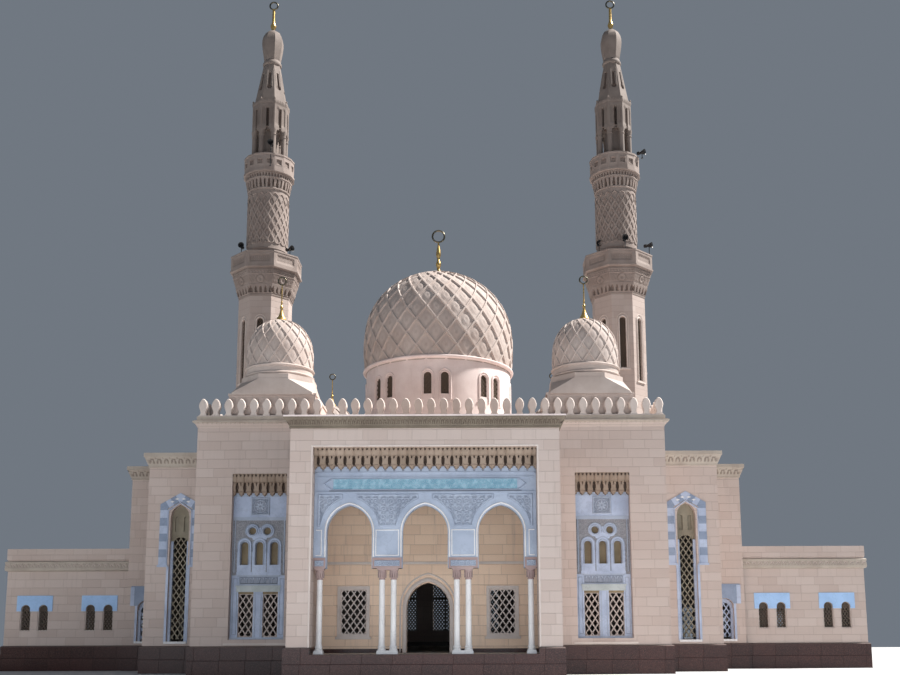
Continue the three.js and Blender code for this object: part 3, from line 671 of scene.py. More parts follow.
for tones in (
    ("carved_grey_marble", (0.26, 0.265, 0.29), (0.35, 0.355, 0.385), (0.2, 0.2, 0.22)),
    ("sky_blue_marble", (0.32, 0.50, 0.78), (0.40, 0.60, 0.90), (0.25, 0.4, 0.6)),
    ("pale_marble", (0.32, 0.37, 0.47), (0.40, 0.455, 0.56), (0.24, 0.27, 0.35)),
    ("blue_marble", (0.35, 0.41, 0.55), (0.49, 0.56, 0.71), (0.25, 0.29, 0.38)),
    ("slate_marble", (0.20, 0.25, 0.35), (0.27, 0.33, 0.45), (0.14, 0.17, 0.24)),
    ("green_marble", (0.38, 0.42, 0.42), (0.50, 0.54, 0.54), (0.24, 0.28, 0.28)),
    ("white_marble", (0.68, 0.66, 0.66), (0.80, 0.78, 0.77), (0.5, 0.48, 0.48)),
):
    marble(*tones)
red_granite()
floor_paving()
metal("gilded_brass", (0.80, 0.55, 0.20), (0.42, 0.27, 0.10))
metal("dark_brass", (0.20, 0.17, 0.12), (0.07, 0.075, 0.06))
dark_lattice()
glazed_turquoise()
black_paint()


def dress(finish, *names):
    """Gives nodes of the building their finish."""
    for name in names:
        slots = frame["nodes"][name].data.materials
        slots.clear()
        slots.append(FINISHES[finish][0])


def dress_building():
    by_slot = {"stone": "coursed_stone", "marble": "pale_marble", "granite": "red_granite",
               "paving": "floor_paving", "brass": "gilded_brass"}
    for row in frame["record"]["subparts"]:
        dress(by_slot[row["material_slot"]], row["node"])
    # The wall inside the portico takes the stone with the painted warm glow.
    dress("painted_light_coursed_stone", "portico_back_wall")
    for side, x in (("left", -MINARET_X), ("right", MINARET_X)):
        round_ashlar(side + "_minaret_stone", x, MINARET_Y, 12)
        dress(side + "_minaret_stone", *[side + "_minaret_" + stage for stage in (
            "shaft", "lower_balcony", "upper_shaft", "upper_balcony", "lantern")])


dress_building()


# Domes


def dome_line(radius, foot, apex, lean, rise, swell, pace):
    """Radius, height and length along the curve of a dome's outline, from its foot up."""
    t = np.linspace(0, 1, 240)
    angle = t * pi / 2
    wide = radius * (1 + swell * np.sin(pi * np.minimum(1, t * pace)))
    r = wide * np.maximum(np.cos(angle), 0) ** lean
    z = foot + (apex - foot) * np.sin(angle) ** rise
    arc = np.concatenate([[0], np.cumsum(np.hypot(np.diff(r), np.diff(z)))])
    return r, z, arc


# Lines across one diamond of a rib net, as shares of its side, closest where the ribs are
FINE_NET = np.array([0, 0.04, 0.08, 0.19, 0.31, 0.41, 0.5, 0.59, 0.69, 0.81, 0.92, 0.96, 1.0])
PLAIN_NET = np.array([0, 0.05, 0.09, 0.2, 0.38, 0.5, 0.62, 0.8, 0.91, 0.95, 1.0])


def diamond(lines):
    """Places in one diamond of a rib net, along its two sides, and their distance from its edge."""
    p, q = np.meshgrid(lines, lines, indexing="ij")
    return p, q, np.minimum(np.minimum(p, 1 - p), np.minimum(q, 1 - q))


def net(lines, rows, around):
    """Height in rows and angle of each place of a net, one diamond after another."""
    p, q, _ = diamond(lines)
    for row in range(rows):
        for step in range(around):
            centre = (step + 0.5 * (row % 2)) / around
            yield row + p + q - 1, TURN * (centre + (p - q) * 0.5 / around) - pi / 2


def diamond_relief(p, q, edge, rib, boss):
    """Height, and dust with painted shade, of the carving at a place in a diamond: raised ribs and a pierced
    boss.
    """
    ribs = rib * unit((0.085 - edge) / 0.035)
    reach = np.hypot(p - 0.5, q - 0.5)
    flower = boss * unit((0.30 - reach) / 0.08)
    eye = -0.8 * boss * unit((0.13 - reach) / 0.07)
    groove = -0.5 * boss * hump(edge - 0.15, 0.05)
    # Dust and painted shade darken the grooves beside the ribs and the eye of the boss.
    dust_and_shade = 0.3 * hump(edge - 0.12, 0.035) + 0.2 * unit((0.13 - reach) / 0.05)
    dust_and_shade = dust_and_shade + 0.15 * hump(reach - 0.34, 0.04)
    return ribs + flower + eye + groove, unit(dust_and_shade)


def net_dome(carving, line, around, first, rise, narrow, rib, boss, lines, tip_share):
    """A dome's skin with a net of crossing ribs, row by row of diamonds up to its tip."""
    r, z, arc = line
    slope_r, slope_z = np.gradient(r, arc), np.gradient(z, arc)
    # Rows keep their height where the dome is wide, and close up towards the tip.
    pace = rise * np.minimum(1, np.maximum(r, 0.01) / narrow) ** 0.6
    rows = np.concatenate([[0], np.cumsum(np.diff(arc) / (0.5 * (pace[1:] + pace[:-1])))]) + first
    tip = rows[np.searchsorted(-r, -tip_share * r.max())]
    relief, dust_and_shade = diamond_relief(*diamond(lines), rib, boss)
    cells = grid_faces(len(lines), len(lines))
    for u, theta in net(lines, int(tip) + 1, around):
        u = np.clip(u, first - 0.3, tip)
        length = np.interp(u, rows, arc)
        fade = np.clip((tip - u) / 2.5, 0.15, 1) * unit((u - first + 0.12) / 0.12)
        height = relief * fade
        radius = np.interp(length, arc, r) + height * np.interp(length, arc, slope_z)
        level = np.interp(length, arc, z) - height * np.interp(length, arc, slope_r)
        level = level + np.minimum(u - first, 0) * rise
        carving.add(round_axis(radius, theta, level), cells, dust_and_shade * unit((u - first) / 0.1))
    ring = float(np.interp(tip, rows, arc))
    return float(np.interp(ring, arc, r)), float(np.interp(ring, arc, z))


def great_dome():
    skin = Carving()
    line = dome_line(3.944, 15.75, 21.262, 0.807, 0.832, 0.068, 1.35)
    rim, level = net_dome(skin, line, 24, 0.16, 0.69, 3.4, 0.075, 0.03, FINE_NET, 0.11)
    skin.lathe([(rim, level - 0.02), (rim * 1.04, level + 0.03), (rim * 0.9, level + 0.08),
                (0.2, 21.25), (0.0, 21.262)], 48)
    piece("ribbed_great_dome", skin, "carved_stone", ["great_dome"], crease=40)


DRUM_R = 3.92
DRUM_WINDOWS_APART = 13.0  # degrees between the two windows of a pair


def drum():
    """The smooth drum under the great dome, with eight pairs of windows and one ring on top."""
    body = Carving().lathe([
        (3.48, HALL_ROOF), (4.07, HALL_ROOF), (4.07, 11.3), (4.04, 11.37), (DRUM_R, 11.44),
        (DRUM_R, 15.6), (4.02, 15.62), (4.08, 15.66), (4.1, 15.71), (4.08, 15.76), (4.0, 15.79),
        (3.9, 15.8), (3.48, 15.8), (3.48, HALL_ROOF),
    ], 96)
    hole = Carving().prism(arch_line(0, 0.4, 13.75, 14.7, 14.9, 6), -5.0, -3.0)
    holes, surround, screen = (Carving() for _ in range(3))
    spread = radians(DRUM_WINDOWS_APART / 2)
    for side in (-1, 1):
        holes.around(hole, 8, degrees(side * spread))
        centre = side * spread * DRUM_R
        surround.moulding(arch_line(centre, 0.62, 13.45, 14.72, 15.05), bead(0.045, 0.02, -0.05))
        surround.moulding(arch_line(centre, 0.46, 13.72, 14.7, 14.93), bead(0.025, 0.02, -0.03))
        lattice(screen, rectangle(centre - 0.21, centre + 0.21, 13.74, 14.88), 0.2, 0.24, 0.02, 0.05, 0.09)
        screen.prism(arch_line(centre, 0.42, 13.74, 14.7, 14.91, 6), 0.09, 0.12)
    surround.block((-0.88, 0.88), (-0.05, 0.02), (13.36, 13.46))
    piece("smooth_drum", pierced(body, holes), "bright_stone", ["great_drum"])
    piece("drum_window_surrounds", Carving().around(surround.bent(DRUM_R), 8), "bright_stone")
    piece("drum_window_screens", Carving().around(screen.bent(DRUM_R), 8), "dark_lattice")


def finial(stem, ring_r, ring_z, tube, foot):
    """A turned stem and the upright ring on its end."""
    line = np.asarray(stem)
    smooth = np.linspace(0, len(line) - 1, 5 * (len(line) - 1) + 1)
    r = np.interp(smooth, np.arange(len(line)), line[:, 0])
    r = np.convolve(np.pad(r, 2, mode="edge"), [0.1, 0.2, 0.4, 0.2, 0.1], mode="valid")
    z = np.interp(smooth, np.arange(len(line)), line[:, 1])
    shaft = Carving().lathe([(0, foot)] + [(a, foot + b) for a, b in zip(r, z)] + [(0, foot + z[-1])], 20)
    b = np.arange(10) * TURN / 10
    reach = ring_r + tube * np.cos(b)
    rings = [np.stack([cos(a) * reach, tube * np.sin(b), foot + ring_z + sin(a) * reach], 1)
             for a in np.arange(32) * TURN / 32]
    return shaft, Carving().loft(rings + rings[:1], caps=False)


GREAT_STEM = [(0.2, 0), (0.09, 0.45), (0.08, 0.56), (0.155, 0.78), (0.08, 1.02), (0.07, 1.1), (0.14, 1.35),
              (0.1, 1.62), (0.05, 1.9), (0.045, 2.1)]
SMALL_STEM = [(0.33, 0), (0.25, 0.09), (0.12, 0.3), (0.05, 0.57), (0.08, 0.7), (0.03, 0.82), (0.045, 0.92),
              (0.028, 1.02), (0.028, 1.8)]
MINARET_STEM = [(0.1, 0), (0.13, 0.12), (0.2, 0.31), (0.12, 0.52), (0.095, 0.62), (0.085, 1.55)]


def place_finial(name, node, parts, at):
    stem, loop = (Carving().take(part, move=(at[0], at[1], 0)) for part in parts)
    piece(name + "_stem", stem, "gilded_brass", [node], crease=50)
    piece(name + "_ring", loop, "dark_brass", crease=50)


def ring_of(count, reach, z, first=0.0):
    """Corners round the axis; reach is the distance from it to each side."""
    angles = radians(first) - pi / 2 + (np.arange(count) + 0.5) * TURN / count
    return round_axis(reach / cos(pi / count), angles, z)


def cut_square(half, corner, z):
    """A square's outline as eight corners, each pair lying close to a corner of the square."""
    side = half - corner
    quarter = [(half, side), (side, half), (-side, half), (-half, side)]
    return [(x, y, z) for x, y in quarter + [(-x, -y) for x, y in quarter]]


def small_domes():
    line = dome_line(1.479, 13.62, 15.982, 0.966, 0.643, 0.013, 2.383)
    skin = Carving()
    rim, level = net_dome(skin, line, 16, 0.0, 0.45, 1.3, 0.045, 0.022, PLAIN_NET, 0.2)
    skin.lathe([(rim, level - 0.01), (rim * 1.03, level + 0.02), (0.34, 15.945), (0, 15.945)], 32)
    ring = [(1.5, 0.0), (1.56, 0.02), (1.58, 0.06), (1.56, 0.1), (1.5, 0.13)]
    neck = [(r, foot + z) for foot in (13.16, 13.5) for r, z in ring]
    skin.lathe([(1.3, 12.9), (1.5, 12.9), *neck, (1.4, 13.64), (1.3, 13.64)], 64)
    skin.loft([ring_of(8, *level, 90) for level in ((1.6, 12.8), (1.6, 13.1), (1.55, 13.12))])
    skin.loft([cut_square(1.8, 0.02, 12.1), cut_square(1.78, 0.03, 12.2), ring_of(8, 1.62, 12.86, 90),
               ring_of(8, 1.62, 12.9, 90)])
    block = Carving().block((-1.9, 1.9), (-1.69, 1.9), (HALL_ROOF, 12.08))
    block.block((-1.94, 1.94), (-1.69, 1.94), (12.07, 12.17))
    parts = finial(SMALL_STEM, 0.18, 1.965, 0.035, 15.945)
    for row, y in (("front", -9.05), ("rear", 9.05)):
        for side, x in (("left", -7.0), ("right", 7.0)):
            name = row + "_" + side
            whole, base = (Carving().take(part, move=(x, y, 0), flip_y=y > 0) for part in (skin, block))
            piece(name + "_ribbed_dome", whole, "carved_stone", [name + "_dome"], crease=40)
            piece(name + "_dome_block", base, "coursed_stone")
            place_finial(name + "_finial", name + "_dome_finial", parts, (x, y))
    place_finial("great_finial", "great_dome_finial", finial(GREAT_STEM, 0.335, 2.42, 0.05, 21.25), (0, 0))


great_dome()
drum()
small_domes()


# Parapets and cornices


def merlon():
    """One tooth of the parapet: a leaf with a pointed head, widest below the middle, on a small foot."""
    side = [(0.185, 0.0), (0.16, 0.045), (0.122, 0.1), (0.115, 0.16), (0.135, 0.25), (0.172, 0.35),
            (0.19, 0.43), (0.188, 0.5), (0.165, 0.59), (0.12, 0.68), (0.06, 0.745), (0.0, 0.77)]
    outline = [(x, TEETH_FOOT + z) for x, z in side] + [(-x, TEETH_FOOT + z) for x, z in side[-2::-1]]
    inner = [(x * 0.82, TEETH_FOOT + 0.03 + z * 0.92) for x, z in side]
    inner += [(-x, z) for x, z in inner[-2::-1]]
    return Carving().loft([[(x, y, z) for x, z in line] for line, y in (
        (inner, -0.015), (outline, 0.02), (outline, MERLON_THICK - 0.01), (inner, MERLON_THICK))])


def parapet_row(start, end, inset):
    """A run of teeth on their course, drawn for a front wall at y = 0."""
    row = Carving()
    row.block((start, end), (0.0, MERLON_THICK), (PARAPET_BASE, TEETH_FOOT))
    row.block((start, end), (-0.03, MERLON_THICK), (TEETH_FOOT - 0.03, TEETH_FOOT + 0.01))
    tooth = merlon()
    for x in spaced(start + inset, end - inset, TEETH_APART):
        row.take(tooth, move=(x, 0, 0))
    return row


def parapets():
    long_row = parapet_row(-HALL_X, HALL_X, 0.2)
    side_row = parapet_row(-HALL_Y + MERLON_THICK, MINARET_Y - MINARET_BASE - 0.01, 0.27)
    right_row = Carving().take(side_row, move=(HALL_X, 0, 0), turn=pi / 2)
    for name, row in (
        ("front", Carving().take(long_row, move=(0, -HALL_Y, 0))),
        ("rear", Carving().take(long_row, move=(0, HALL_Y, 0), turn=pi)),
        ("right", right_row),
        ("left", Carving().take(right_row, flip_x=True)),
    ):
        piece(name + "_merlons", row, "pale_carved_stone", [name + "_parapet"], crease=45)


def arch_band(u, v, low, high, pitch):
    """A band of small sunk arches with a dot between each pair, from 0 on the face to 1 sunk."""
    w = (v - low) / (high - low)
    s = near(u, pitch) / pitch
    inside = (s < 0.34 * np.sqrt(unit(1 - ((w - 0.2) / 0.62) ** 2))) & (w > 0.1)
    core = (s < 0.16 * np.sqrt(unit(1 - ((w - 0.2) / 0.4) ** 2))) & (w > 0.1)
    dot = np.hypot(near(u, pitch, pitch / 2), v - (low + 0.78 * (high - low))) < 0.028
    return ((inside & ~core) * 1.0 + dot * 0.8) * within(v, low, high)


def cornice(start, end, steps, low, high, pitch):
    """A cornice drawn for a front wall. steps gives [height, reach]; it is carved from low to high."""
    heights, reaches = zip(*steps)
    vs = [steps[0][0]] + sorted({*heights[1:], *np.linspace(low, high, 7)})

    def carve(u, v):
        hollow = arch_band(u, v, low, high, pitch)
        # The sunk arches are darkened with dust and painted shade.
        return np.interp(v, heights, reaches) - 0.03 * hollow, 0.7 * hollow

    count = max(1, round((end - start) / pitch))
    return Carving().sheet(spaced(start, end, (end - start) / (count * 8)), vs, carve, mitred=True)


def cornice_runs(kind, runs):
    """Runs of a cornice on the right, each from start to end along its wall, and the same on the left.

    quarter is how many quarter turns the wall's face makes from the front."""
    whole = Carving()
    for start, end, move, quarter in runs:
        right = Carving().take(cornice(start, end, *kind), move=(*move, 0), turn=quarter * pi / 2)
        whole.take(right).take(right, flip_x=True)
    return whole


HALL_CORNICE = ([
    (10.6, 0.02), (10.635, 0.02), (10.64, 0.05), (10.67, 0.05), (10.68, 0.045), (10.8, 0.17), (10.805, 0.2),
    (10.865, 0.2), (10.87, 0.12), (10.9, 0.12), (10.905, 0.05), (11.08, 0.05)], 10.68, 10.8, 0.2)
PORTAL_CORNICE = ([
    (9.24, 0.0), (9.26, 0.045), (9.33, 0.045), (9.335, 0.035), (9.37, 0.07), (9.61, 0.215), (9.62, 0.24),
    (9.71, 0.24)], 9.38, 9.61, 0.165)
AISLE_CORNICE = ([
    (9.27, 0.0), (9.29, 0.045), (9.35, 0.045), (9.355, 0.04), (9.42, 0.075), (9.74, 0.205), (9.75, 0.23),
    (9.93, 0.23)], 9.42, 9.74, 0.33)
WING_CORNICE = ([
    (4.8, 0.02), (4.84, 0.11), (4.95, 0.13), (4.96, 0.12), (5.22, 0.12), (5.24, 0.13), (5.27, 0.11),
    (5.3, 0.02)], 4.97, 5.2, 0.3)


def cornices():
    limit = MINARET_Y - MINARET_BASE  # where the walls meet the minarets' bases
    long_run = cornice(-HALL_X, HALL_X, *HALL_CORNICE)
    hall = cornice_runs(HALL_CORNICE, [(-HALL_Y, limit, (HALL_X, 0), 1)])
    hall.take(long_run, move=(0, -HALL_Y, 0)).take(long_run, move=(0, HALL_Y, 0), turn=pi)
    piece("hall_cornice", hall, "cornice_stone")

    whole = cornice_runs(PORTAL_CORNICE, [(-PORTAL_Y, -HALL_Y, (PORTAL_X, 0), 1)])
    whole.take(cornice(-PORTAL_X, PORTAL_X, *PORTAL_CORNICE), move=(0, -PORTAL_Y, 0))
    piece("portal_cornice", Carving().take(whole).take(whole, flip_y=True), "dark_carved_stone")
    # The lip along the top is in the drum's bright stone, a painted highlight on the sunlit top edge of the
    # cornice.
    lip = Carving()
    for side in (-1, 1):
        outer, inner = side * (PORTAL_Y + 0.25), side * (PORTAL_Y - 0.35)
        lip.block((-PORTAL_X - 0.25, PORTAL_X + 0.25), sorted((outer, inner)), (9.66, 9.72))
        lip.twins((PORTAL_X - 0.35, PORTAL_X + 0.25), sorted((inner, side * HALL_Y)), (9.66, 9.72))
    piece("portal_cornice_lip", lip, "bright_stone")

    aisles = cornice_runs(AISLE_CORNICE, [
        (HALL_X, AISLE_X, (0, -AISLE_Y), 0), (-AISLE_Y, -BAY_Y, (AISLE_X, 0), 1),
        (AISLE_X, BAY_X, (0, -BAY_Y), 0), (-BAY_Y, BAY_Y, (BAY_X, 0), 1),
        (BAY_Y, limit, (AISLE_X, 0), 1), (-BAY_X, -AISLE_X, (0, BAY_Y), 2)])
    piece("aisle_cornices", aisles, "cornice_stone")
    wings = cornice_runs(WING_CORNICE, [
        (BAY_X, WING_X, (0, -WING_Y), 0), (-WING_Y, WING_Y, (WING_X, 0), 1),
        (-WING_X, -BAY_X, (0, WING_Y), 2)])
    piece("wing_cornices", wings, "cornice_stone")


parapets()
cornices()


# The portal


def honeycomb(half, foot, head, pitch, out):
    """Hanging tiers of small niches, drawn for a front wall; out is the reach of the top tier."""
    rise = head - foot

    def carve(u, v):
        w = (v - foot) / rise
        gap, fan = near(u, pitch) / pitch, near(u, pitch / 2) / pitch
        leaf = 0.5 - gap
        upper = w > 0.62
        low = (w < 0.2) & (leaf > 0.05 + 0.33 * w / 0.2)
        wall = low & (w < 0.07 + 0.1 * (gap < 0.2))
        tall = (w >= 0.2) & (w < 0.62) & (gap < 0.18 * (1 - ((w - 0.4) / 0.3) ** 2))
        little = within(w, 0.48, 0.62) & (leaf < 0.07 * (w - 0.46) / 0.16)
        notch = within(w, 0.87, 0.97) & (fan < 0.14 * (w - 0.85) / 0.12)
        stand = np.where(w < 0.2, 0.35, np.where(w < 0.62, 0.62, 1.0)) * out
        stand = stand - 0.12 * out * unit((0.18 - gap) / 0.18) * upper * (w < 0.88)
        stand = stand - 0.22 * out * unit((0.8 - w) / 0.18) * upper
        stand = np.where(little | notch, stand - 0.3 * out, stand)
        stand = np.where(low, 0.12 * out, np.where(tall, 0.02 * out, stand))
        # Dust and painted shade fill the gaps and notches, and darken the lines under the ledges and the
        # creases beside the gaps.
        ledge = hump(w - 0.64, 0.025) * 0.7 + hump(w - 0.2, 0.02) * 0.4
        crease = unit((0.05 - gap) / 0.05) * upper * 0.5
        dust_and_shade = unit(tall * 1.0 + little * 0.9 + notch * 0.9 + low * 0.7 + ledge + crease)
        return np.where(wall, -0.02, stand), dust_and_shade

    us = spaced(-half, half, pitch / 18)
    levels = np.concatenate([
        np.linspace(0, 0.2, 8), np.linspace(0.2001, 0.62, 14), np.linspace(0.6201, 0.87, 6),
        np.linspace(0.8701, 0.97, 4), [0.9701, 1.0]])
    return Carving().sheet(us, foot + rise * levels, carve)


def scrolls(u, v, size):
    """A height from 0 to 1 that draws curling stems with leaves in cells of a size."""
    column, row = np.floor(u / size), np.floor(v / size)
    hand = 1 - 2 * np.mod(column + row, 2)
    x, y = (u / size - column - 0.5) * hand, v / size - row - 0.5
    r = np.hypot(x, y)
    arm = np.abs(np.mod(r * 3.4 - np.arctan2(y, x) / TURN + 0.5, 1) - 0.5) / 3.4
    stem = unit(1.6 - arm / 0.05) * (r < 0.47)
    leaf = unit(1.5 - np.hypot(np.abs(x) - 0.4, np.abs(y) - 0.4) / 0.1)
    return np.maximum(stem, leaf)


def rosette(u, v, radius):
    """A height from 0 to 1 that draws a flower of eight petals in a ring."""
    r, a = np.hypot(u, v) / radius, np.arctan2(v, u)
    edge = 0.62 + 0.16 * np.cos(8 * a)
    flower = unit((edge - r) / 0.08) * (0.55 + 0.45 * np.cos(4 * a) ** 2)
    ring = hump(r - 0.9, 0.06)
    return unit(np.maximum(flower, ring) - unit((0.16 - r) / 0.05))


def carved(height, least, depth, dust_and_shade):
    """The carving of a sheet whose height(u, v) goes from 0, deep and darkened with dust and painted shade,
    to 1, proud and clean.
    """
    def carve(u, v):
        h = height(u, v)
        return least + depth * h, dust_and_shade * (1 - h)
    return carve


ARCHES = (-2.82, 0.0, 2.82)


def arcade():
    half, spring, top = 4.149, 4.08, 8.549  # of the recess that the screen fills
    outline = [(-half, spring)]
    for centre in ARCHES:
        outline += arch_line(centre, 1.68, spring, 5.43, 6.43, 14)
    outline += [(half, spring), (half, top), (-half, top)]
    y = -ARCADE_FACE
    wall = Carving().prism(outline, y, y + 0.349)
    piece("arcade_wall", wall, "pale_marble", ["arcade_screen"])

    white = Carving()
    for centre in ARCHES:
        white.moulding(arch_line(centre, 1.8, 4.5, 5.44, 6.51, 16), bead(0.034, y + 0.02, y - 0.04))
    for x in (-3.99, -1.41, 1.41, 3.99):
        wide = 0.13 if abs(x) > 3 else 0.42
        panel = rectangle(x - wide, x + wide, 4.56, 5.5)
        white.moulding(panel, bead(0.022, y + 0.01, y - 0.02), closed=True)
    piece("arcade_mouldings", white, "white_marble")
    bands = Carving()
    point = [(3.5, 7.02), (3.77, 7.225), (3.5, 7.43)]
    bands.moulding(point + [(-x, z) for x, z in point[::-1]], bead(0.018, y + 0.01, y - 0.05), closed=True)
    for z, out, tall in [(6.9, 0.06, 0.03), (7.48, 0.035, 0.02), (7.66, 0.03, 0.015)]:
        bands.block((-4.14, 4.14), (y - out, y + 0.02), (z - tall, z + tall))
    # A thin dark line of painted shadow under the turquoise band.
    bands.block((-3.6, 3.6), (y - 0.03, y + 0.02), (6.955, 6.985), 0.9)
    bands.twins((4.06, 4.14), (y - 0.03, y + 0.02), (4.5, 7.76))

    # Carved panels between the arches, and half panels beside the outer ones
    panels = Carving()
    level = 6.86  # where the panels end
    heads = [arch_line(centre, 2.22, 5.0, 5.46, 6.72, 14) for centre in ARCHES]
    spans = [(-4.02, -3.07), (-2.57, -0.25), (0.25, 2.57), (3.07, 4.02)]
    for low, high in spans:
        over = sorted({x for line in heads for x, z in line if low < x < high} | {low, high})
        under = []
        for x in over:
            z = 5.62
            for line in heads:
                xs, zs = zip(*line)
                if min(xs) < x < max(xs):
                    z = max(z, float(np.interp(x, xs[1:-1], zs[1:-1])))
            under.append(min(z, 6.8))
        us = spaced(low, high, 0.033)
        vs = np.linspace(0, 1, 40)
        base = np.interp(us, over, under)
        u, share = np.meshgrid(us, vs, indexing="ij")
        v = base[:, None] + (level - base[:, None]) * share
        edge = np.minimum(np.minimum(u - low, high - u), np.minimum(v - base[:, None], level - v))
        height = np.where(edge < 0.03, 0.2, np.where(edge < 0.075, 1.0, scrolls(u - low, v - 5.86, 0.29)))
        out = 0.012 + 0.028 * height
        # The sunk ground between the scrolls is darkened with dust and painted shade.
        grime_and_shade = 0.42 * (1 - height)
        out[0] = out[-1] = -0.01
        out[:, 0] = out[:, -1] = -0.01
        panels.add(np.stack([u, y - out, v], -1), grid_faces(*out.shape), grime_and_shade)
    piece("arcade_panels", panels, "pale_marble")

    # The band above: a turquoise field under pale scrolls, and a notch of painted shadow under each hanging
    # tip
    field = Carving().block((-3.44, 3.44), (y - 0.02, y + 0.02), (7.04, 7.41))
    piece("turquoise_band", field, "glazed_turquoise")
    bands.sheet(spaced(-3.44, 3.44, 0.02), spaced(7.045, 7.405, 0.018),
                carved(lambda u, v: scrolls(u, v - 7.045, 0.18), 0, 0.03, 0), y=y)
    for i in range(-12, 12):
        middle = (i + 0.5) * TIERS_APART
        arc = [(middle + 0.05 * cos(a), 7.76 - 0.06 * sin(a)) for a in np.linspace(0, pi, 7)]
        bands.add([(x, y - 0.012, z) for x, z in arc], [tuple(range(7))], 0.75)
    piece("pale_bands", bands, "pale_marble")

    tiers = Carving().take(honeycomb(half, 7.77, 8.548, TIERS_APART, 0.42), move=(0, y, 0))
    piece("honeycomb_tiers", tiers, "honey_stone", ["honeycomb_cornice"], crease=25)

    edge = Carving()
    path = [(-4.19, PLINTH_TOP), (-4.19, 8.59), (4.19, 8.59), (4.19, PLINTH_TOP)]
    edge.moulding(path, bead(0.035, -PORTAL_Y + 0.01, -PORTAL_Y - 0.02))
    piece("portal_edge_moulding", edge, "pale_carved_stone")


SHAFT_LINE = [
    (0.0, 1.07), (0.15, 1.07), (0.155, 1.1), (0.15, 1.13), (0.128, 1.14), (0.128, 1.17), (0.145, 1.19),
    (0.145, 1.22), (0.125, 1.25), (0.113, 1.29), (0.11, 1.6), (0.105, 3.6), (0.104, 3.68), (0.0, 3.68),
]
CAPITAL_LINE = [
    (0.0, 3.66), (0.12, 3.66), (0.125, 3.69), (0.12, 3.71), (0.105, 3.72), (0.11, 3.78), (0.128, 3.86),
    (0.125, 3.88), (0.135, 3.9), (0.155, 3.99), (0.15, 4.0), (0.165, 4.01), (0.165, 4.03), (0.0, 4.03),
]


def columns():
    sets = {"left_column_pair": (-1.6, -1.17), "right_column_pair": (1.17, 1.6),
            "left_side_column": (-3.91,), "right_side_column": (3.91,)}
    half = 0.175  # of a column's square block
    y = -ARCADE_FACE + half
    capitals = Carving()
    for name, centres in sets.items():
        group = Carving()
        low, high = min(centres) - half, max(centres) + half
        group.block((low, high), (y - half, y + half), (FLOOR, 1.04))
        group.block((low + 0.015, high - 0.015), (y - 0.16, y + 0.16), (1.03, 1.08))
        capitals.block((low, high), (y - half, y + half), (4.02, 4.08))
        for x in centres:
            group.lathe(SHAFT_LINE, 32, at=(x, y))
            capitals.lathe(CAPITAL_LINE, 32, at=(x, y))
            leaf = Carving().prism([(-0.022, 3.74), (0.022, 3.74), (0.03, 3.9), (0.0, 3.97), (-0.03, 3.9)],
                                   -0.16, -0.09)
            capitals.take(Carving().around(leaf, 12), move=(x, y, 0))
        piece(name.replace("_column", "_carved_column"), group, "white_marble", [name], crease=40)
    face = -ARCADE_FACE
    for across in ((0.87, 1.95), (3.69, 4.14)):
        capitals.twins(across, (face - 0.03, face + 0.352), (4.085, 4.46))
        capitals.twins(across, (face - 0.055, face + 0.354), (4.4, 4.47))
        capitals.twins(across, (face - 0.045, face + 0.353), (4.08, 4.13))
    piece("carved_capitals", capitals, "mauve_stone", crease=40)
    panels = Carving()
    for low, high in [(-4.09, -3.76), (-1.88, -0.94), (0.94, 1.88), (3.76, 4.09)]:
        carving = carved(lambda u, v: scrolls(u - low, v - 4.16, 0.21), 0.02, 0.02, 0.4)
        panels.sheet(spaced(low, high, 0.02), spaced(4.16, 4.37, 0.02), carving, y=face - 0.03)
    piece("impost_panels", panels, "pale_marble")


def portico():
    """The wall behind the arcade: a doorway surround and barred windows."""
    face = PORTICO_FACE
    trim, bars = Carving(), Carving()
    trim.moulding(arch_line(0, 1.86, FLOOR, 2.7, 3.82, 14), bead(0.09, face + 0.02, face - 0.07))
    trim.moulding(arch_line(0, 2.2, FLOOR, 2.72, 4.05, 14), bead(0.04, face + 0.02, face - 0.04))
    for x in (-2.95, 2.95):
        frame_line = rectangle(x - 0.58, x + 0.58, 1.6, 3.5)
        trim.moulding(frame_line, fillet(0.06, face + 0.02, face - 0.05), closed=True)
        trim.block((x - 0.7, x + 0.7), (face - 0.12, face + 0.05), (1.48, 1.58))
        window = rectangle(x - 0.525, x + 0.525, 1.65, 3.45)
        lattice(bars, window, 0.2625, 0.36, 0.022, face + 0.08, face + 0.14)
        edge = rectangle(x - 0.5, x + 0.5, 1.68, 3.42)
        bars.moulding(edge, fillet(0.025, face + 0.15, face + 0.07), closed=True)
    trim.block((-4.39, 4.39), (face - 0.05, face + 0.02), (4.42, 4.52))
    piece("portico_trim", trim, "pale_carved_stone")
    piece("portico_lattices", bars, "pale_carved_stone")
    skirting = Carving().twins((1.02, 4.39), (face - 0.03, face + 0.02), (FLOOR, 1.09))
    skirting.twins((1.02, 4.39), (face - 0.022, face + 0.02), (1.08, 1.11))
    piece("portico_skirting", skirting, "red_granite")


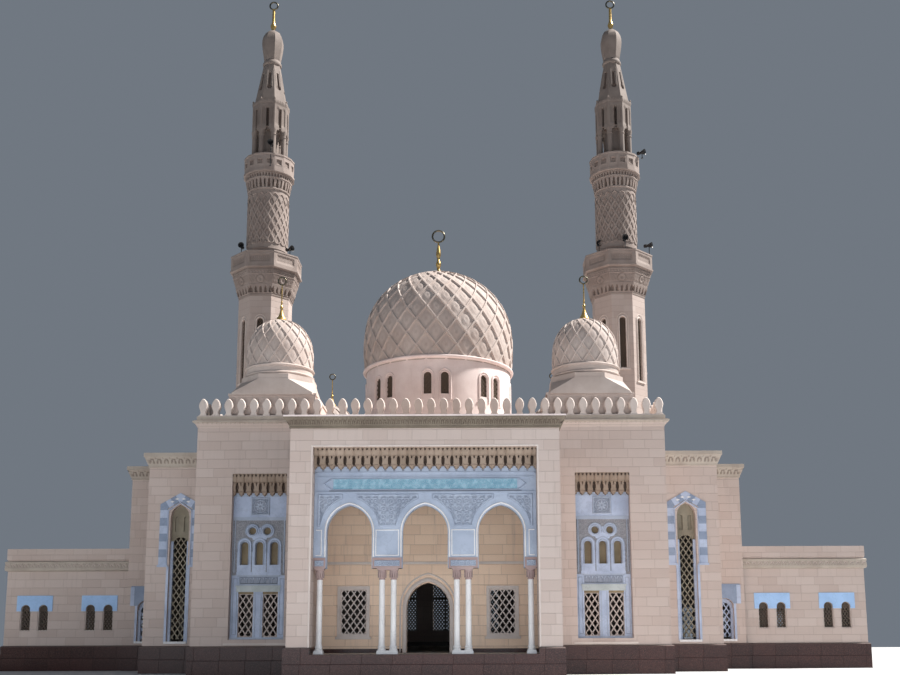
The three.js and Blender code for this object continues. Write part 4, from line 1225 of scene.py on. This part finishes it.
def rear_portal():
    """The plainer arches at the back, with screens in them."""
    trim, bars = Carving(), Carving()
    for centre in ARCHES:
        trim.moulding(arch_line(centre, 1.8, 2.0, 5.44, 6.51, 16), bead(0.055, 0.02, -0.05))
        trim.moulding(arch_line(centre, 2.1, 1.9, 5.46, 6.68, 16), bead(0.03, 0.02, -0.035))
        trim.block((centre - 1.0, centre + 1.0), (-0.12, 0.02), (1.88, 1.99))
        head = arch_line(centre, 1.68, 2.0, 5.43, 6.43, 12)[::-1]
        lattice(bars, head, 0.21, 0.27, 0.045, 0.2, 0.27)
        bars.block((centre - 0.84, centre + 0.84), (0.18, 0.3), (4.1, 4.2))
        bars.block((centre - 0.03, centre + 0.03), (0.18, 0.3), (2.0, 6.4))
    trim.block((-4.4, 4.4), (-0.06, 0.02), (7.1, 7.22))
    back = {"move": (0, PORTAL_Y, 0), "turn": pi}
    piece("rear_portal_trim", Carving().take(trim, **back), "pale_carved_stone")
    piece("rear_portal_screens", Carving().take(bars, **back), "dark_lattice")


arcade()
columns()
portico()
rear_portal()


# The tall niches and the windows


# Middles of a niche's openings, measured from its own middle
LATTICES_X, CLERESTORY_X, ROUNDELS_X = (-0.525, 0.525), (-0.64, 0.0, 0.64), (-0.32, 0.32)


def niche_holes(y0, y1, grow=0.0):
    """The window openings of a niche as solids to be taken out."""
    holes = Carving()
    for x in LATTICES_X:
        holes.prism(rectangle(x - 0.325, x + 0.325, 1.58, 3.4), y0, y1)
    for x in CLERESTORY_X:
        holes.prism(arch_line(x, 0.32 + grow, 4.64, 5.47, 5.63 + grow / 2, 8), y0, y1)
    for x in ROUNDELS_X:
        holes.prism(circle_line(x, 6.1, 0.155 + grow / 2, 20), y0, y1)
    return holes


def niche_dressing():
    """The stones, carvings and screens of one niche, drawn with its panel's face at y = 0."""
    blue, green, white, stone, screens, dark, grey = (Carving() for _ in range(7))

    # Upper field with its square carved panel
    blue.block((-1.15, 1.15), (-0.015, 0.01), (6.6, 7.6))
    white.moulding(rectangle(-0.37, 0.37, 6.82, 7.53), bead(0.045, 0.01, -0.07), closed=True)

    def flower(u, v):
        v = v - 7.175
        return np.maximum(rosette(u, v, 0.29), scrolls(u, v, 0.16) * (np.hypot(u, v) > 0.31))

    white.sheet(spaced(-0.33, 0.33, 0.016), spaced(6.86, 7.49, 0.016), carved(flower, 0.018, 0.03, 0.5))
    white.block((-1.15, 1.15), (-0.045, 0.01), (6.6, 6.7))
    white.block((-1.15, 1.15), (-0.03, 0.01), (6.56, 6.6))

    # The pale shape that holds the roundels and the row of windows, on a carved field
    def behind_shape(u, v):
        roundels = np.hypot(np.abs(u) - 0.32, v - 6.1) < 0.22
        return roundels | ((near(u, 0.64) < 0.22) & (np.abs(u) < 0.9) & within(v, 4.45, 5.68))

    field = carved(lambda u, v: scrolls(u, v - 4.2, 0.24), 0.004, 0.018, 0.4)
    grey.sheet(spaced(-1.15, 1.15, 0.022), spaced(4.2, 6.56, 0.022), field, sink=0.04, gaps=behind_shape)
    arcs = np.linspace(-0.61, 0.61, 35)
    edge = np.sqrt(np.clip(0.29 ** 2 - (np.abs(arcs) - 0.32) ** 2, 0, None))
    over = [(x, 6.1 + max(rise, 0.14 if abs(x) < 0.32 else 0.0)) for x, rise in zip(arcs, edge)]
    under = [(x, min(6.1 - rise, 5.72 if abs(x) < 0.3 else 6.1)) for x, rise in zip(arcs, edge)]
    shape = Carving().prism(under[1:-1] + over[::-1], -0.035, 0.0)
    blue.take(pierced(shape, niche_holes(-0.1, 0.1, 0.02)))
    for x in CLERESTORY_X:
        shape = Carving().prism(arch_line(x, 0.6, 4.32, 5.5, 5.8, 10), -0.036, 0.0)
        blue.take(pierced(shape, niche_holes(-0.1, 0.1, 0.02)))
    for x in ROUNDELS_X:
        white.moulding(circle_line(x, 6.1, 0.2, 28), bead(0.04, -0.02, -0.075), closed=True)
        turns = np.linspace(-0.5, pi + 0.5, 22)
        arc = [(x + 0.29 * cos(a), 6.1 + 0.29 * sin(a)) for a in turns]
        white.moulding(arc, bead(0.028, -0.01, -0.065))
        dark.prism(circle_line(x, 6.1, 0.17, 20), 0.16, 0.2)
    for x in CLERESTORY_X:
        white.moulding(arch_line(x, 0.38, 4.64, 5.49, 5.68, 10), bead(0.03, -0.02, -0.075))
        dark.prism(arch_line(x, 0.36, 4.62, 5.47, 5.65, 8), 0.2, 0.23)
        white.moulding(arch_line(x, 0.58, 5.2, 5.5, 5.79, 10), bead(0.022, -0.01, -0.06))
    white.twins((1.04, 1.08), (-0.04, 0.0), (4.3, 6.56))

    # Sill, blind arcade, lintel and the two lattice windows
    blue.block((-0.96, 0.96), (-0.045, 0.01), (4.2, 4.33))
    white.block((-0.9, 0.9), (-0.05, 0.01), (4.14, 4.2))

    def arches(u, v):
        middle = near(u, 0.27, 0.135)
        w = (v - 3.84) / 0.28
        inside = middle < 0.085 * np.sqrt(unit(1 - unit((w - 0.45) / 0.4) ** 2))
        rim = (middle < 0.105) & ~inside & (w < 0.92)
        height = np.where(rim, 1.0, np.where(inside, 0.25, 0.55)) * (w > 0.05)
        # Everything but the rims is darkened with dust and painted shade.
        return 0.035 * height, np.where(height > 0.9, 0.0, 0.5)

    stone.sheet(spaced(-0.81, 0.81, 0.018), spaced(3.83, 4.13, 0.02), arches)
    green.block((-0.93, 0.93), (-0.06, 0.01), (3.49, 3.72))
    green.block((-0.97, 0.97), (-0.075, 0.01), (3.7, 3.76))
    for x in LATTICES_X:
        dark.block((x - 0.33, x + 0.33), (-0.02, 0.08), (3.4, 3.49))
        outline = rectangle(x - 0.325, x + 0.325, 1.58, 3.4)
        lattice(screens, outline, 0.27, 0.41, 0.025, 0.05, 0.1)
        screens.moulding(rectangle(x - 0.31, x + 0.31, 1.6, 3.39), fillet(0.018, 0.1, 0.04), closed=True)
    blue.block((-0.2, 0.2), (-0.03, 0.01), (1.55, 3.49))
    white.twins((0.1, 0.15), (-0.045, 0.0), (1.58, 3.46))
    blue.twins((0.85, 1.15), (-0.025, 0.01), (1.55, 4.18))
    for x in (-1.0, 1.0):
        white.moulding(rectangle(x - 0.08, x + 0.08, 1.68, 4.05), bead(0.018, -0.02, -0.045), closed=True)
    white.block((-1.17, 1.17), (-0.1, 0.01), (1.485, 1.56))
    return {"blue": (blue, "blue_marble"), "green": (green, "green_marble"), "white": (white, "pale_marble"),
            "stone": (stone, "pale_marble"), "screens": (screens, "carved_stone"),
            "dark": (dark, "ochre_stone"), "grey": (grey, "carved_grey_marble")}


def placed(carving, places, front, back=None):
    """Copies on the left and the right at each distance from the middle, on a front and a back wall."""
    whole = Carving()
    for place in places:
        for x in (-place, place):
            whole.take(carving, move=(x, front, 0))
            if back is not None:
                whole.take(carving, move=(x, back, 0), turn=pi)
    return whole


def niches():
    for key, (carving, finish) in niche_dressing().items():
        piece("niche_" + key, placed(carving, [NICHE_X], NICHE_FACE, HALL_Y), finish)
    hood = honeycomb(1.172, 7.6, 8.555, 0.335, 0.34)
    piece("niche_hoods", placed(hood, [NICHE_X], NICHE_FACE), "honey_stone", crease=25)
    panel = pierced(Carving().block((-1.174, 1.174), (0.0, 0.25), (1.481, 8.559)), niche_holes(-0.3, 0.5))
    piece("niche_panels", placed(panel, [NICHE_X], NICHE_FACE), "pale_marble",
          ["left_niche_panel", "right_niche_panel"])
    sill = Carving().block((-1.35, 1.35), (-0.06, 0.01), (1.25, 1.33))
    piece("niche_sills", placed(sill, [NICHE_X], -HALL_Y, HALL_Y), "pale_carved_stone")


def window_frame(pale, white, foot_of_head, spring, apex):
    """Gives a window its jambs and its sill, and returns its opening and its lattice."""
    pale.twins((0.31, 0.425), (0.2, 0.4), (1.34, foot_of_head))
    white.block((-0.5, 0.5), (-0.08, 0.25), (1.3, 1.4))
    opening = Carving().prism(arch_line(0, 0.62, 1.4, spring, apex, 8), 0.0, 0.6)
    screen = Carving()
    lattice(screen, arch_line(0, 0.62, 1.5, spring, apex, 8)[::-1], 0.25, 0.37, 0.024, 0.3, 0.37)
    return opening, screen


def tall_window():
    """Surround, tympanum and lattice of a tall window, drawn with the wall's face at y = 0."""
    pale, dark, white, olive = (Carving() for _ in range(4))
    path = [(-0.73, 4.8), (-0.73, 7.48), (0.0, 7.9), (0.73, 7.48), (0.73, 4.8)]
    lengths = [0.0]
    for (ax, az), (bx, bz) in zip(path, path[1:]):
        lengths.append(lengths[-1] + hypot(bx - ax, bz - az))
    # Stones of alternating colour, with one across each bend of the path
    shoulder, apex, length = lengths[1], lengths[2], lengths[-1]
    marks = list(np.linspace(0, shoulder - 0.17, 8))
    marks += [shoulder + 0.17, (shoulder + apex) / 2, apex - 0.17]
    marks += [length - mark for mark in marks[::-1]]
    xs, zs = zip(*path)
    for i, (low, high) in enumerate(zip(marks, marks[1:])):
        inside = sorted({low, high} | {m for m in lengths if low < m < high})
        line = [(float(np.interp(m, lengths, xs)), float(np.interp(m, lengths, zs))) for m in inside]
        (dark if i % 2 else pale).moulding(line, fillet(0.17, 0.01, -0.035 - 0.012 * (i % 2)))
        if 8 < i < 13:
            x, z = line[0]
            white.prism([(x - 0.1, z), (x, z - 0.045), (x + 0.1, z), (x, z + 0.045)], -0.055, 0.0)
    inner = [(-0.53, 4.8), (-0.53, 7.3), (0.0, 7.66), (0.53, 7.3), (0.53, 4.8)]
    pale.moulding(inner, bead(0.035, 0.02, -0.055))
    pale.twins((0.47, 0.95), (-0.08, 0.01), (4.72, 4.81))
    pale.twins((0.425, 0.53), (-0.02, 0.01), (1.34, 4.74))
    holes, screen = window_frame(pale, white, 5.9, 5.8, 6.1)
    for x in (-0.2, 0.2):
        holes.prism(arch_line(x, 0.17, 6.35, 6.95, 7.04, 6), 0.1, 0.36)
    head = Carving().prism(arch_line(0, 0.84, 5.7, 7.0, 7.555, 8), 0.28, 0.42)
    olive.take(pierced(head, holes)).take(screen)
    return {"pale": (pale, "blue_marble"), "dark": (dark, "slate_marble"), "white": (white, "white_marble"),
            "olive": (olive, "olive_stone")}


def bay_window():
    """A low window of a bay under a blue panel, drawn with the wall's face at y = 0."""
    pale, dark, white = (Carving() for _ in range(3))
    body = Carving().prism(rectangle(-0.75, 0.75, 3.1, 4.05), -0.035, 0.01)
    dark.take(pierced(body, Carving().prism(arch_line(0, 0.86, 1.3, 2.95, 3.36, 8), -0.2, 0.2)))
    pale.twins((0.58, 0.77), (-0.045, 0.01), (3.1, 4.0))
    pale.twins((0.425, 0.53), (-0.02, 0.01), (1.34, 3.1))
    opening, screen = window_frame(pale, white, 2.9, 2.85, 3.17)
    head = Carving().prism(arch_line(0, 0.84, 2.6, 2.95, 3.345, 8), 0.28, 0.42)
    pale.take(pierced(head, opening)).take(screen)
    return {"pale": (pale, "blue_marble"), "dark": (dark, "slate_marble"), "white": (white, "white_marble")}


def bay_courses():
    """The wall over a bay's low window, which fills the upper part of the opening in the solids."""
    wall = Carving().prism(arch_line(0, 0.87, 2.95, 7.0, 7.58, 8), 0.004, 0.34)
    wall = pierced(wall, Carving().prism(arch_line(0, 0.84, 2.0, 2.95, 3.35, 8), -0.2, 0.6))
    return {"courses": (wall, "coursed_stone")}


def wing_windows():
    """A sky-blue panel over a pair of small round-headed windows, drawn about their middle."""
    sky, jambs, screens = (Carving() for _ in range(3))
    holes = Carving()
    for x in (-0.43, 0.43):
        holes.prism(arch_line(x, 0.44, 1.7, 2.96, 3.18, 8), -0.2, 0.2)
        body = Carving().prism(arch_line(x, 0.536, 1.904, 2.93, 3.198, 8), 0.03, 0.3)
        jambs.take(pierced(body, Carving().prism(arch_line(x, 0.44, 1.95, 2.96, 3.16, 8), -0.1, 0.5)))
        outline = arch_line(x, 0.46, 1.93, 2.96, 3.17, 8)[::-1]
        lattice(screens, outline, 0.154, 0.22, 0.02, 0.16, 0.21)
        screens.prism(arch_line(x, 0.45, 2.9, 2.96, 3.17, 8), 0.2, 0.23)
    body = Carving().prism(rectangle(-0.87, 0.87, 2.86, 3.62), -0.035, 0.01)
    sky.take(pierced(body, holes))
    return {"panels": (sky, "sky_blue_marble"), "jambs": (jambs, "carved_stone"),
            "screens": (screens, "dark_lattice")}


def windows():
    for kind, parts, *walls in (
        ("tall_window_", tall_window(), [AISLE_WINDOW_X], -AISLE_Y),
        ("bay_window_", bay_window(), [BAY_WINDOW_X], -BAY_Y, BAY_Y),
        ("bay_wall_", bay_courses(), [BAY_WINDOW_X], -BAY_Y, BAY_Y),
        ("wing_window_", wing_windows(), WING_WINDOWS_X, -WING_Y, WING_Y),
    ):
        for key, (carving, finish) in parts.items():
            piece(kind + key, placed(carving, *walls), finish)


niches()
windows()


# Minarets, each drawn about its own axis, with a flat side of the octagon to the front


def facets(count, reaches, step, columns, carve, dip=None, first=0.0):
    """A skin of flat carved faces round an upright axis.

    reaches gives [height, distance from the axis to the faces]. step is the most between the levels
    of the skin. carve(u, v) gives how far the carving stands out, and its dust and painted shade."""
    heights, outs = zip(*reaches)
    share, v = np.meshgrid(np.linspace(-1, 1, columns), levels_of(reaches, step), indexing="ij")
    reach = np.interp(v, heights, outs)
    u = share * reach * tan(pi / count)
    inner = np.abs(share) < 0.999
    out, grime_and_shade = (grid * inner for grid in carve(u, v))
    z = v + (dip(share, v) if dip else 0)
    face = Carving().add(np.stack([u, -reach - out, z], -1), grid_faces(*u.shape), grime_and_shade)
    return Carving().around(face, count, first)


def levels_of(reaches, step):
    """Heights for a skin: every change of its outline, and more between them."""
    marks = [reaches[0][0]]
    for (low, _), (high, _) in zip(reaches, reaches[1:]):
        marks += list(np.linspace(low, high, max(1, round((high - low) / step)) + 1))[1:]
    return marks


def slits():
    """Surrounds and screens of the eight tall slits in a lower shaft."""
    frames, screens = Carving(), Carving()
    for i in range(8):
        foot = 16.95 if i % 2 else 17.7
        surround = Carving()
        surround.moulding(arch_line(0, 0.46, foot - 0.06, 20.7, 20.94, 8), bead(0.045, 0.02, -0.05))
        surround.moulding(arch_line(0, 0.68, foot - 0.14, 20.72, 21.12, 8), bead(0.025, 0.02, -0.035))
        surround.block((-0.4, 0.4), (-0.07, 0.02), (foot - 0.16, foot - 0.07))
        screen = Carving()
        lattice(screen, rectangle(-0.18, 0.18, foot, 20.86), 0.12, 0.2, 0.014, 0.1, 0.15)
        for whole, part in ((frames, surround), (screens, screen)):
            whole.take(Carving().take(part, move=(0, -LOWER_SHAFT, 0)), turn=radians(45 * i))
    return frames, screens


LOWER_BALCONY = [
    (22.28, 1.545), (22.34, 1.58), (22.42, 1.58), (22.44, 1.565), (22.5, 1.62), (23.02, 1.76), (23.04, 1.74),
    (23.1, 1.76), (23.58, 1.9), (23.6, 1.93), (23.64, 1.93), (23.66, 1.9), (23.8, 1.93), (23.81, 1.96),
    (23.86, 1.96), (23.87, 1.94), (23.95, 1.94), (24.02, 2.11), (24.1, 2.11), (24.12, 2.06), (24.96, 2.06),
    (24.98, 2.09), (25.06, 2.09),
]


def lower_balcony():
    """Hanging leaves, a carved band with a roundel, and a rail with sunk panels."""

    def carve(u, v):
        w = (v - 22.52) / 0.34
        drop = near(u, 0.3) < 0.075 * np.sqrt(unit(1 - unit(w) ** 2))
        gap = drop & within(v, 22.51, 22.86)
        r = np.hypot(u, v - 23.33)
        ring = hump(r - 0.17, 0.045) * (r < 0.27)
        groove = within(r, 0.215, 0.27) | (r < 0.05)
        field = within(v, 23.1, 23.58) & (r > 0.27)
        leaf = scrolls(u, v - 23.1, 0.24) * field
        band = within(v, 23.66, 23.79)
        teeth = (near(u, 0.19) < 0.055) & band
        panel = (np.abs(u) < 0.64) & within(v, 24.3, 24.82)
        edge = panel & ~((np.abs(u) < 0.58) & within(v, 24.36, 24.76))
        holes = panel & ~edge & (np.hypot(near(u, 0.12), near(v, 0.13, 24.365)) < 0.042)
        out = 0.03 * ring + 0.03 * leaf + 0.04 * teeth - 0.09 * gap - 0.02 * groove
        out = out - 0.05 * panel + 0.025 * edge - 0.02 * holes
        shade = 0.75 * gap + 0.45 * groove + 0.25 * field * (1 - leaf) + 0.4 * (band & ~teeth) + 0.6 * holes
        return out, unit(shade + 0.25 * panel + 0.5 * within(v, 23.88, 23.97))

    skin = facets(8, LOWER_BALCONY, 0.06, 37, carve)
    core = [(1.3, 22.28), (1.53, 22.3), (1.5, 23.0), (1.7, 23.2), (1.88, 24.1), (2.0, 24.2), (2.0, 25.0),
            (2.09, 25.055), (1.9, 25.06), (1.88, 24.2), (1.2, 24.15), (1.2, 22.28)]
    skin.loft([ring_of(8, reach, z) for reach, z in core])
    return skin


NET_FOOT, NET_ROWS, NET_RISE, NET_AROUND = 26.08, 7, 0.415, 18
SHAFT_R = 1.26


def netted_shaft():
    """The round upper shaft under a net of crossing ribs that end in small arches."""
    skin = Carving().lathe([
        (0.95, 24.05), (1.4, 24.05), (1.4, 24.3), (1.37, 24.36), (1.32, 24.4), (1.28, 24.46),
        (SHAFT_R, 24.55), (SHAFT_R, 25.5), (1.285, 25.52), (1.285, 25.57), (SHAFT_R, 25.59),
        (SHAFT_R, 29.5), (0.95, 29.55), (0.95, 24.05),
    ], 72)
    edge = diamond(PLAIN_NET)[2]
    radius = SHAFT_R + 0.005 + 0.045 * unit((0.14 - edge) / 0.035)
    # Dust and painted shade darken a band just inside the ribs.
    grime_and_shade = unit(0.6 * hump(edge - 0.2, 0.05))
    cells = grid_faces(len(PLAIN_NET), len(PLAIN_NET))
    for u, theta in net(PLAIN_NET, NET_ROWS, NET_AROUND):
        level = np.clip(NET_FOOT + u * NET_RISE, NET_FOOT - 0.2, None)
        skin.add(round_axis(radius, theta, level), cells, grime_and_shade)
    wide = TURN * SHAFT_R / NET_AROUND
    top = NET_FOOT + (NET_ROWS - 1) * NET_RISE
    ends = Carving()
    for step in range(NET_AROUND):
        centre = (step + 0.5 * (NET_ROWS % 2)) * wide
        upper = arch_line(centre, wide, top, top + 0.3, top + 0.62, 6)[1:-1]
        ends.moulding(upper, bead(0.04, 0.01, -0.05))
        under = arch_line(step * wide, wide, NET_FOOT, NET_FOOT, NET_FOOT + 0.2, 6)
        low = [(x, 2 * NET_FOOT - z) for x, z in under]
        ends.moulding(low[::-1], bead(0.04, 0.01, -0.05))
    skin.take(ends.bent(SHAFT_R))
    return skin


UPPER_BALCONY = [
    (29.42, 1.27), (29.46, 1.32), (29.52, 1.32), (29.54, 1.3), (29.6, 1.33), (30.12, 1.42), (30.14, 1.45),
    (30.2, 1.45), (30.22, 1.42), (30.44, 1.48), (30.46, 1.45), (30.52, 1.59), (30.64, 1.59), (30.66, 1.545),
    (31.58, 1.545), (31.6, 1.575), (31.7, 1.575),
]


def upper_balcony():
    """Brackets with hollows between them under a rail of sixteen pierced panels."""

    def carve(u, v):
        w = unit((v - 29.58) / 0.5)
        big = (near(u, 0.28) < 0.07 * np.sqrt(1 - w ** 2)) & within(v, 29.57, 30.08)
        small = (near(u, 0.19) < 0.055) & within(v, 30.24, 30.42)
        panel = (np.abs(u) < 0.21) & within(v, 30.92, 31.36)
        hole = (np.abs(u) < 0.15) & within(v, 30.98, 31.3)
        open_part = hole & ~((near(u, 0.1) < 0.018) | (near(v, 0.1, 31.04) < 0.018))
        shade = 1.0 * big + 0.9 * small + 0.2 * hole + 0.7 * open_part + 0.4 * within(v, 30.45, 30.5)
        return -0.1 * big - 0.06 * small + 0.015 * panel - 0.07 * hole, unit(shade)

    skin = facets(16, UPPER_BALCONY, 0.06, 19, carve, first=11.25)
    core = [(1.05, 29.42), (1.24, 29.45), (1.2, 30.0), (1.35, 30.3), (1.42, 30.55), (1.44, 30.8),
            (1.46, 31.6), (1.575, 31.695), (1.42, 31.7), (1.39, 30.8), (0.3, 30.75), (0.3, 29.42)]
    skin.loft([ring_of(16, reach, z, 11.25) for reach, z in core])
    return skin


SCREEN = [(33.55, 1.04), (33.57, 1.09), (35.3, 1.09), (35.34, 1.105), (35.46, 1.115), (35.56, 1.1),
          (35.58, 0.98)]
CONE = [(35.52, 0.99), (35.66, 0.965), (38.3, 0.52), (38.36, 0.51)]
BULB_LINE = [(0.47, 38.62), (0.5, 38.7), (0.535, 38.95), (0.605, 39.4), (0.65, 39.85), (0.645, 40.12),
             (0.585, 40.4), (0.45, 40.68), (0.26, 40.84), (0.13, 40.9), (0.12, 40.97), (0, 40.97)]
POST = [(0.0, 30.72), (0.2, 30.72), (0.2, 30.84), (0.18, 30.86), (0.175, 30.95), (0.165, 31.0),
        (0.155, 33.15), (0.185, 33.18), (0.185, 33.22), (0.16, 33.25), (0.17, 33.38), (0.205, 33.5),
        (0.205, 33.6), (0.0, 33.6)]


def lantern():
    """Columns, a slotted screen, an eight-sided cone with keyhole niches, and a faceted bulb."""

    def screen(u, v):
        side = np.abs(u)
        slot = (side < 0.07) & (v < 35.02 - 0.6 * side)
        sunk = within(side, 0.12, 0.36) & (v > 33.86) & (v < 35.05 - 0.3 * np.abs(side - 0.24))
        scallop = (v > 35.36) * (near(u, 0.19) < 0.07) * 0.02
        shade = slot * 1.0 + sunk * 0.25 + within(v, 35.24, 35.33) * 0.35
        return -0.3 * slot - 0.035 * sunk + scallop, unit(shade)

    def dip(share, v):
        return -0.16 * unit((33.9 - v) / 0.35) * np.abs(share) ** 2

    def niche(u, v):
        side = np.abs(u)
        keyhole = ((side < 0.07) & within(v, 36.7, 37.65)) | (np.hypot(u, v - 36.6) < 0.15)
        groove = (np.abs(side - 0.17) < 0.03) & within(v, 36.5, 38.0)
        # The keyholes are darkened with dust and painted shade.
        return -0.08 * keyhole + 0.015 * groove, keyhole * 1.0

    whole = facets(8, SCREEN, 0.09, 31, screen, dip)
    soffit = [(0.84, 33.7), (1.06, 33.7), (1.06, 33.74), (0.84, 33.74), (0.84, 33.7)]
    whole.loft([ring_of(8, reach, z) for reach, z in soffit], caps=False)
    whole.take(facets(8, CONE, 0.06, 31, niche))
    whole.loft([ring_of(8, reach, z) for reach, z in BULB_LINE])
    whole.lathe([(0.46, 38.3), (0.53, 38.32), (0.595, 38.38), (0.61, 38.45), (0.595, 38.53), (0.555, 38.6),
                 (0.52, 38.7), (0.4, 38.7)], 40)
    whole.lathe([(0, 30.72), (0.56, 30.72), (0.56, 33.7), (0, 33.7)], 24)
    whole.lathe([(0, 33.6), (0.93, 33.6), (0.93, 33.75), (0, 33.75)], 24)
    knob = [(0, 35.5), (0.05, 35.5), (0.035, 35.56), (0.06, 35.6), (0.065, 35.65), (0.045, 35.7), (0, 35.74)]
    for i in range(8):
        a = -pi / 2 + (i + 0.5) * TURN / 8
        whole.lathe(POST, 20, at=(cos(a), sin(a)))
        whole.lathe(knob, 10, at=(1.15 * cos(a), 1.15 * sin(a)))
    return whole


def minarets():
    frames, screens = slits()
    stages = [
        ("slit_surrounds", frames, "pale_carved_stone", []),
        ("slit_screens", screens, "dark_lattice", []),
        # The upper stages take the darker stones of painted shade.
        ("carved_lower_balcony", lower_balcony(), "painted_shade_upper_stone", ["lower_balcony"]),
        ("netted_upper_shaft", netted_shaft(), "painted_shade_upper_stone", ["upper_shaft"]),
        ("carved_upper_balcony", upper_balcony(), "painted_shade_upper_stone", ["upper_balcony"]),
        ("carved_lantern", lantern(), "painted_shade_lantern_stone", ["lantern"]),
    ]
    stem = finial(MINARET_STEM, 0.26, 1.8, 0.05, 40.95)
    for side, x in (("left", -MINARET_X), ("right", MINARET_X)):
        for name, carving, finish, replaced in stages:
            whole = Carving().take(carving, move=(x, MINARET_Y, 0), flip_x=x < 0)
            piece(side + "_minaret_" + name, whole, finish,
                  [side + "_minaret_" + node for node in replaced], crease=34)
        place_finial(side + "_minaret_finial", side + "_minaret_finial", stem, (x, MINARET_Y))


# Where each horn stands: X, Y, height, the floor or rail that carries it, and its turn in degrees
HORNS = [
    (-12.62, 7.1, 25.92, 24.15, 0), (-9.47, 6.6, 25.52, 24.15, 55), (-10.75, 6.1, 32.34, 30.8, 0),
    (9.92, 7.1, 25.96, 24.15, 0), (11.36, 5.8, 25.84, 24.15, 0), (13.07, 7.1, 25.85, 24.15, 65),
    (12.78, 6.9, 32.0, 31.6, 60),
]


def horns():
    """Black horns on posts, drawn facing -Y."""
    line = [(0.0, 0.05), (0.06, 0.05), (0.09, -0.02), (0.17, -0.19), (0.19, -0.2), (0.19, -0.18),
            (0.12, -0.02), (0.085, 0.07), (0.08, 0.12), (0.11, 0.13), (0.11, 0.3), (0.08, 0.34), (0.0, 0.34)]
    angles = np.arange(24) * TURN / 24
    rings = [[(r * cos(a), y, r * sin(a)) for a in angles] for r, y in line]
    bell = Carving().loft(rings, caps=False)
    whole = Carving()
    for x, y, z, foot, turn in HORNS:
        whole.take(bell, move=(x, y, z), turn=radians(turn))
        whole.lathe([(0, foot), (0.07, foot), (0.07, foot + 0.03), (0.025, foot + 0.05), (0.025, z - 0.09),
                     (0.0, z - 0.09)], 10, at=(x, y))
    piece("horn_loudspeakers", whole, "black_paint", crease=50)


minarets()
horns()


# Stage, light and camera


def stage():
    mesh = bpy.data.meshes.new("stage_floor")
    reach = 38.0
    mesh.from_pydata([(-reach, -reach, 0), (reach, -reach, 0), (reach, reach, 0), (-reach, reach, 0)],
                     [], [(0, 1, 2, 3)])
    stage_floor()
    mesh.materials.append(FINISHES["stage_floor"][0])
    ground = linked("stage_floor", mesh)


def lights():
    sun = bpy.data.lights.new("key_light", "SUN")
    sun.energy = 9.0
    sun.angle = radians(5)
    sun.color = (1.0, 0.965, 0.925)
    key = linked("key_light", sun)
    azimuth, elevation = radians(10), radians(50.8)
    towards = Vector((cos(azimuth) * cos(elevation), sin(azimuth) * cos(elevation), sin(elevation)))
    key.rotation_euler = towards.to_track_quat("Z", "Y").to_euler()
    soft = bpy.data.lights.new("front_fill", "AREA")
    soft.shape = "RECTANGLE"
    soft.size, soft.size_y = 34, 2
    soft.energy = 900
    soft.color = (0.84, 0.915, 1.0)
    fill = linked("front_fill", soft)
    fill.location = (5, -17.5, 1.0)
    fill.rotation_euler = (radians(105), 0, 0)
    fill.visible_camera = False
    world = bpy.data.worlds.new("studio")
    world.use_nodes = True
    background = world.node_tree.nodes["Background"]
    background.inputs["Color"].default_value = (0.74, 0.85, 1.0, 1.0)
    background.inputs["Strength"].default_value = 0.22
    bpy.context.scene.world = world


FOCAL = 1040.0  # pixels of the photograph's 900 by 675 frame
FRAME_WIDTH, FRAME_HEIGHT = 900, 675
AXIS_X, AXIS_Y = 468.0, 468.0  # where the camera's axis meets the photograph, in pixels
EYE = Vector((1.60, -55.4, 1.6))
PITCH, ROLL = 0.16, -0.004


def camera():
    data = bpy.data.cameras.new("camera")
    data.sensor_width = 36
    data.lens = FOCAL / FRAME_WIDTH * data.sensor_width
    data.shift_x = -(AXIS_X - FRAME_WIDTH / 2) / FRAME_WIDTH
    data.shift_y = (AXIS_Y - FRAME_HEIGHT / 2) / FRAME_WIDTH
    data.clip_end = 2000
    made = linked("camera", data)
    look = Matrix.Rotation(pi / 2 + PITCH, 4, "X") @ Matrix.Rotation(ROLL, 4, "Z")
    made.matrix_world = Matrix.Translation(EYE * MODEL) @ look
    bpy.context.scene.camera = made


stage()
lights()
camera()
bpy.context.scene.view_settings.view_transform = "Standard"
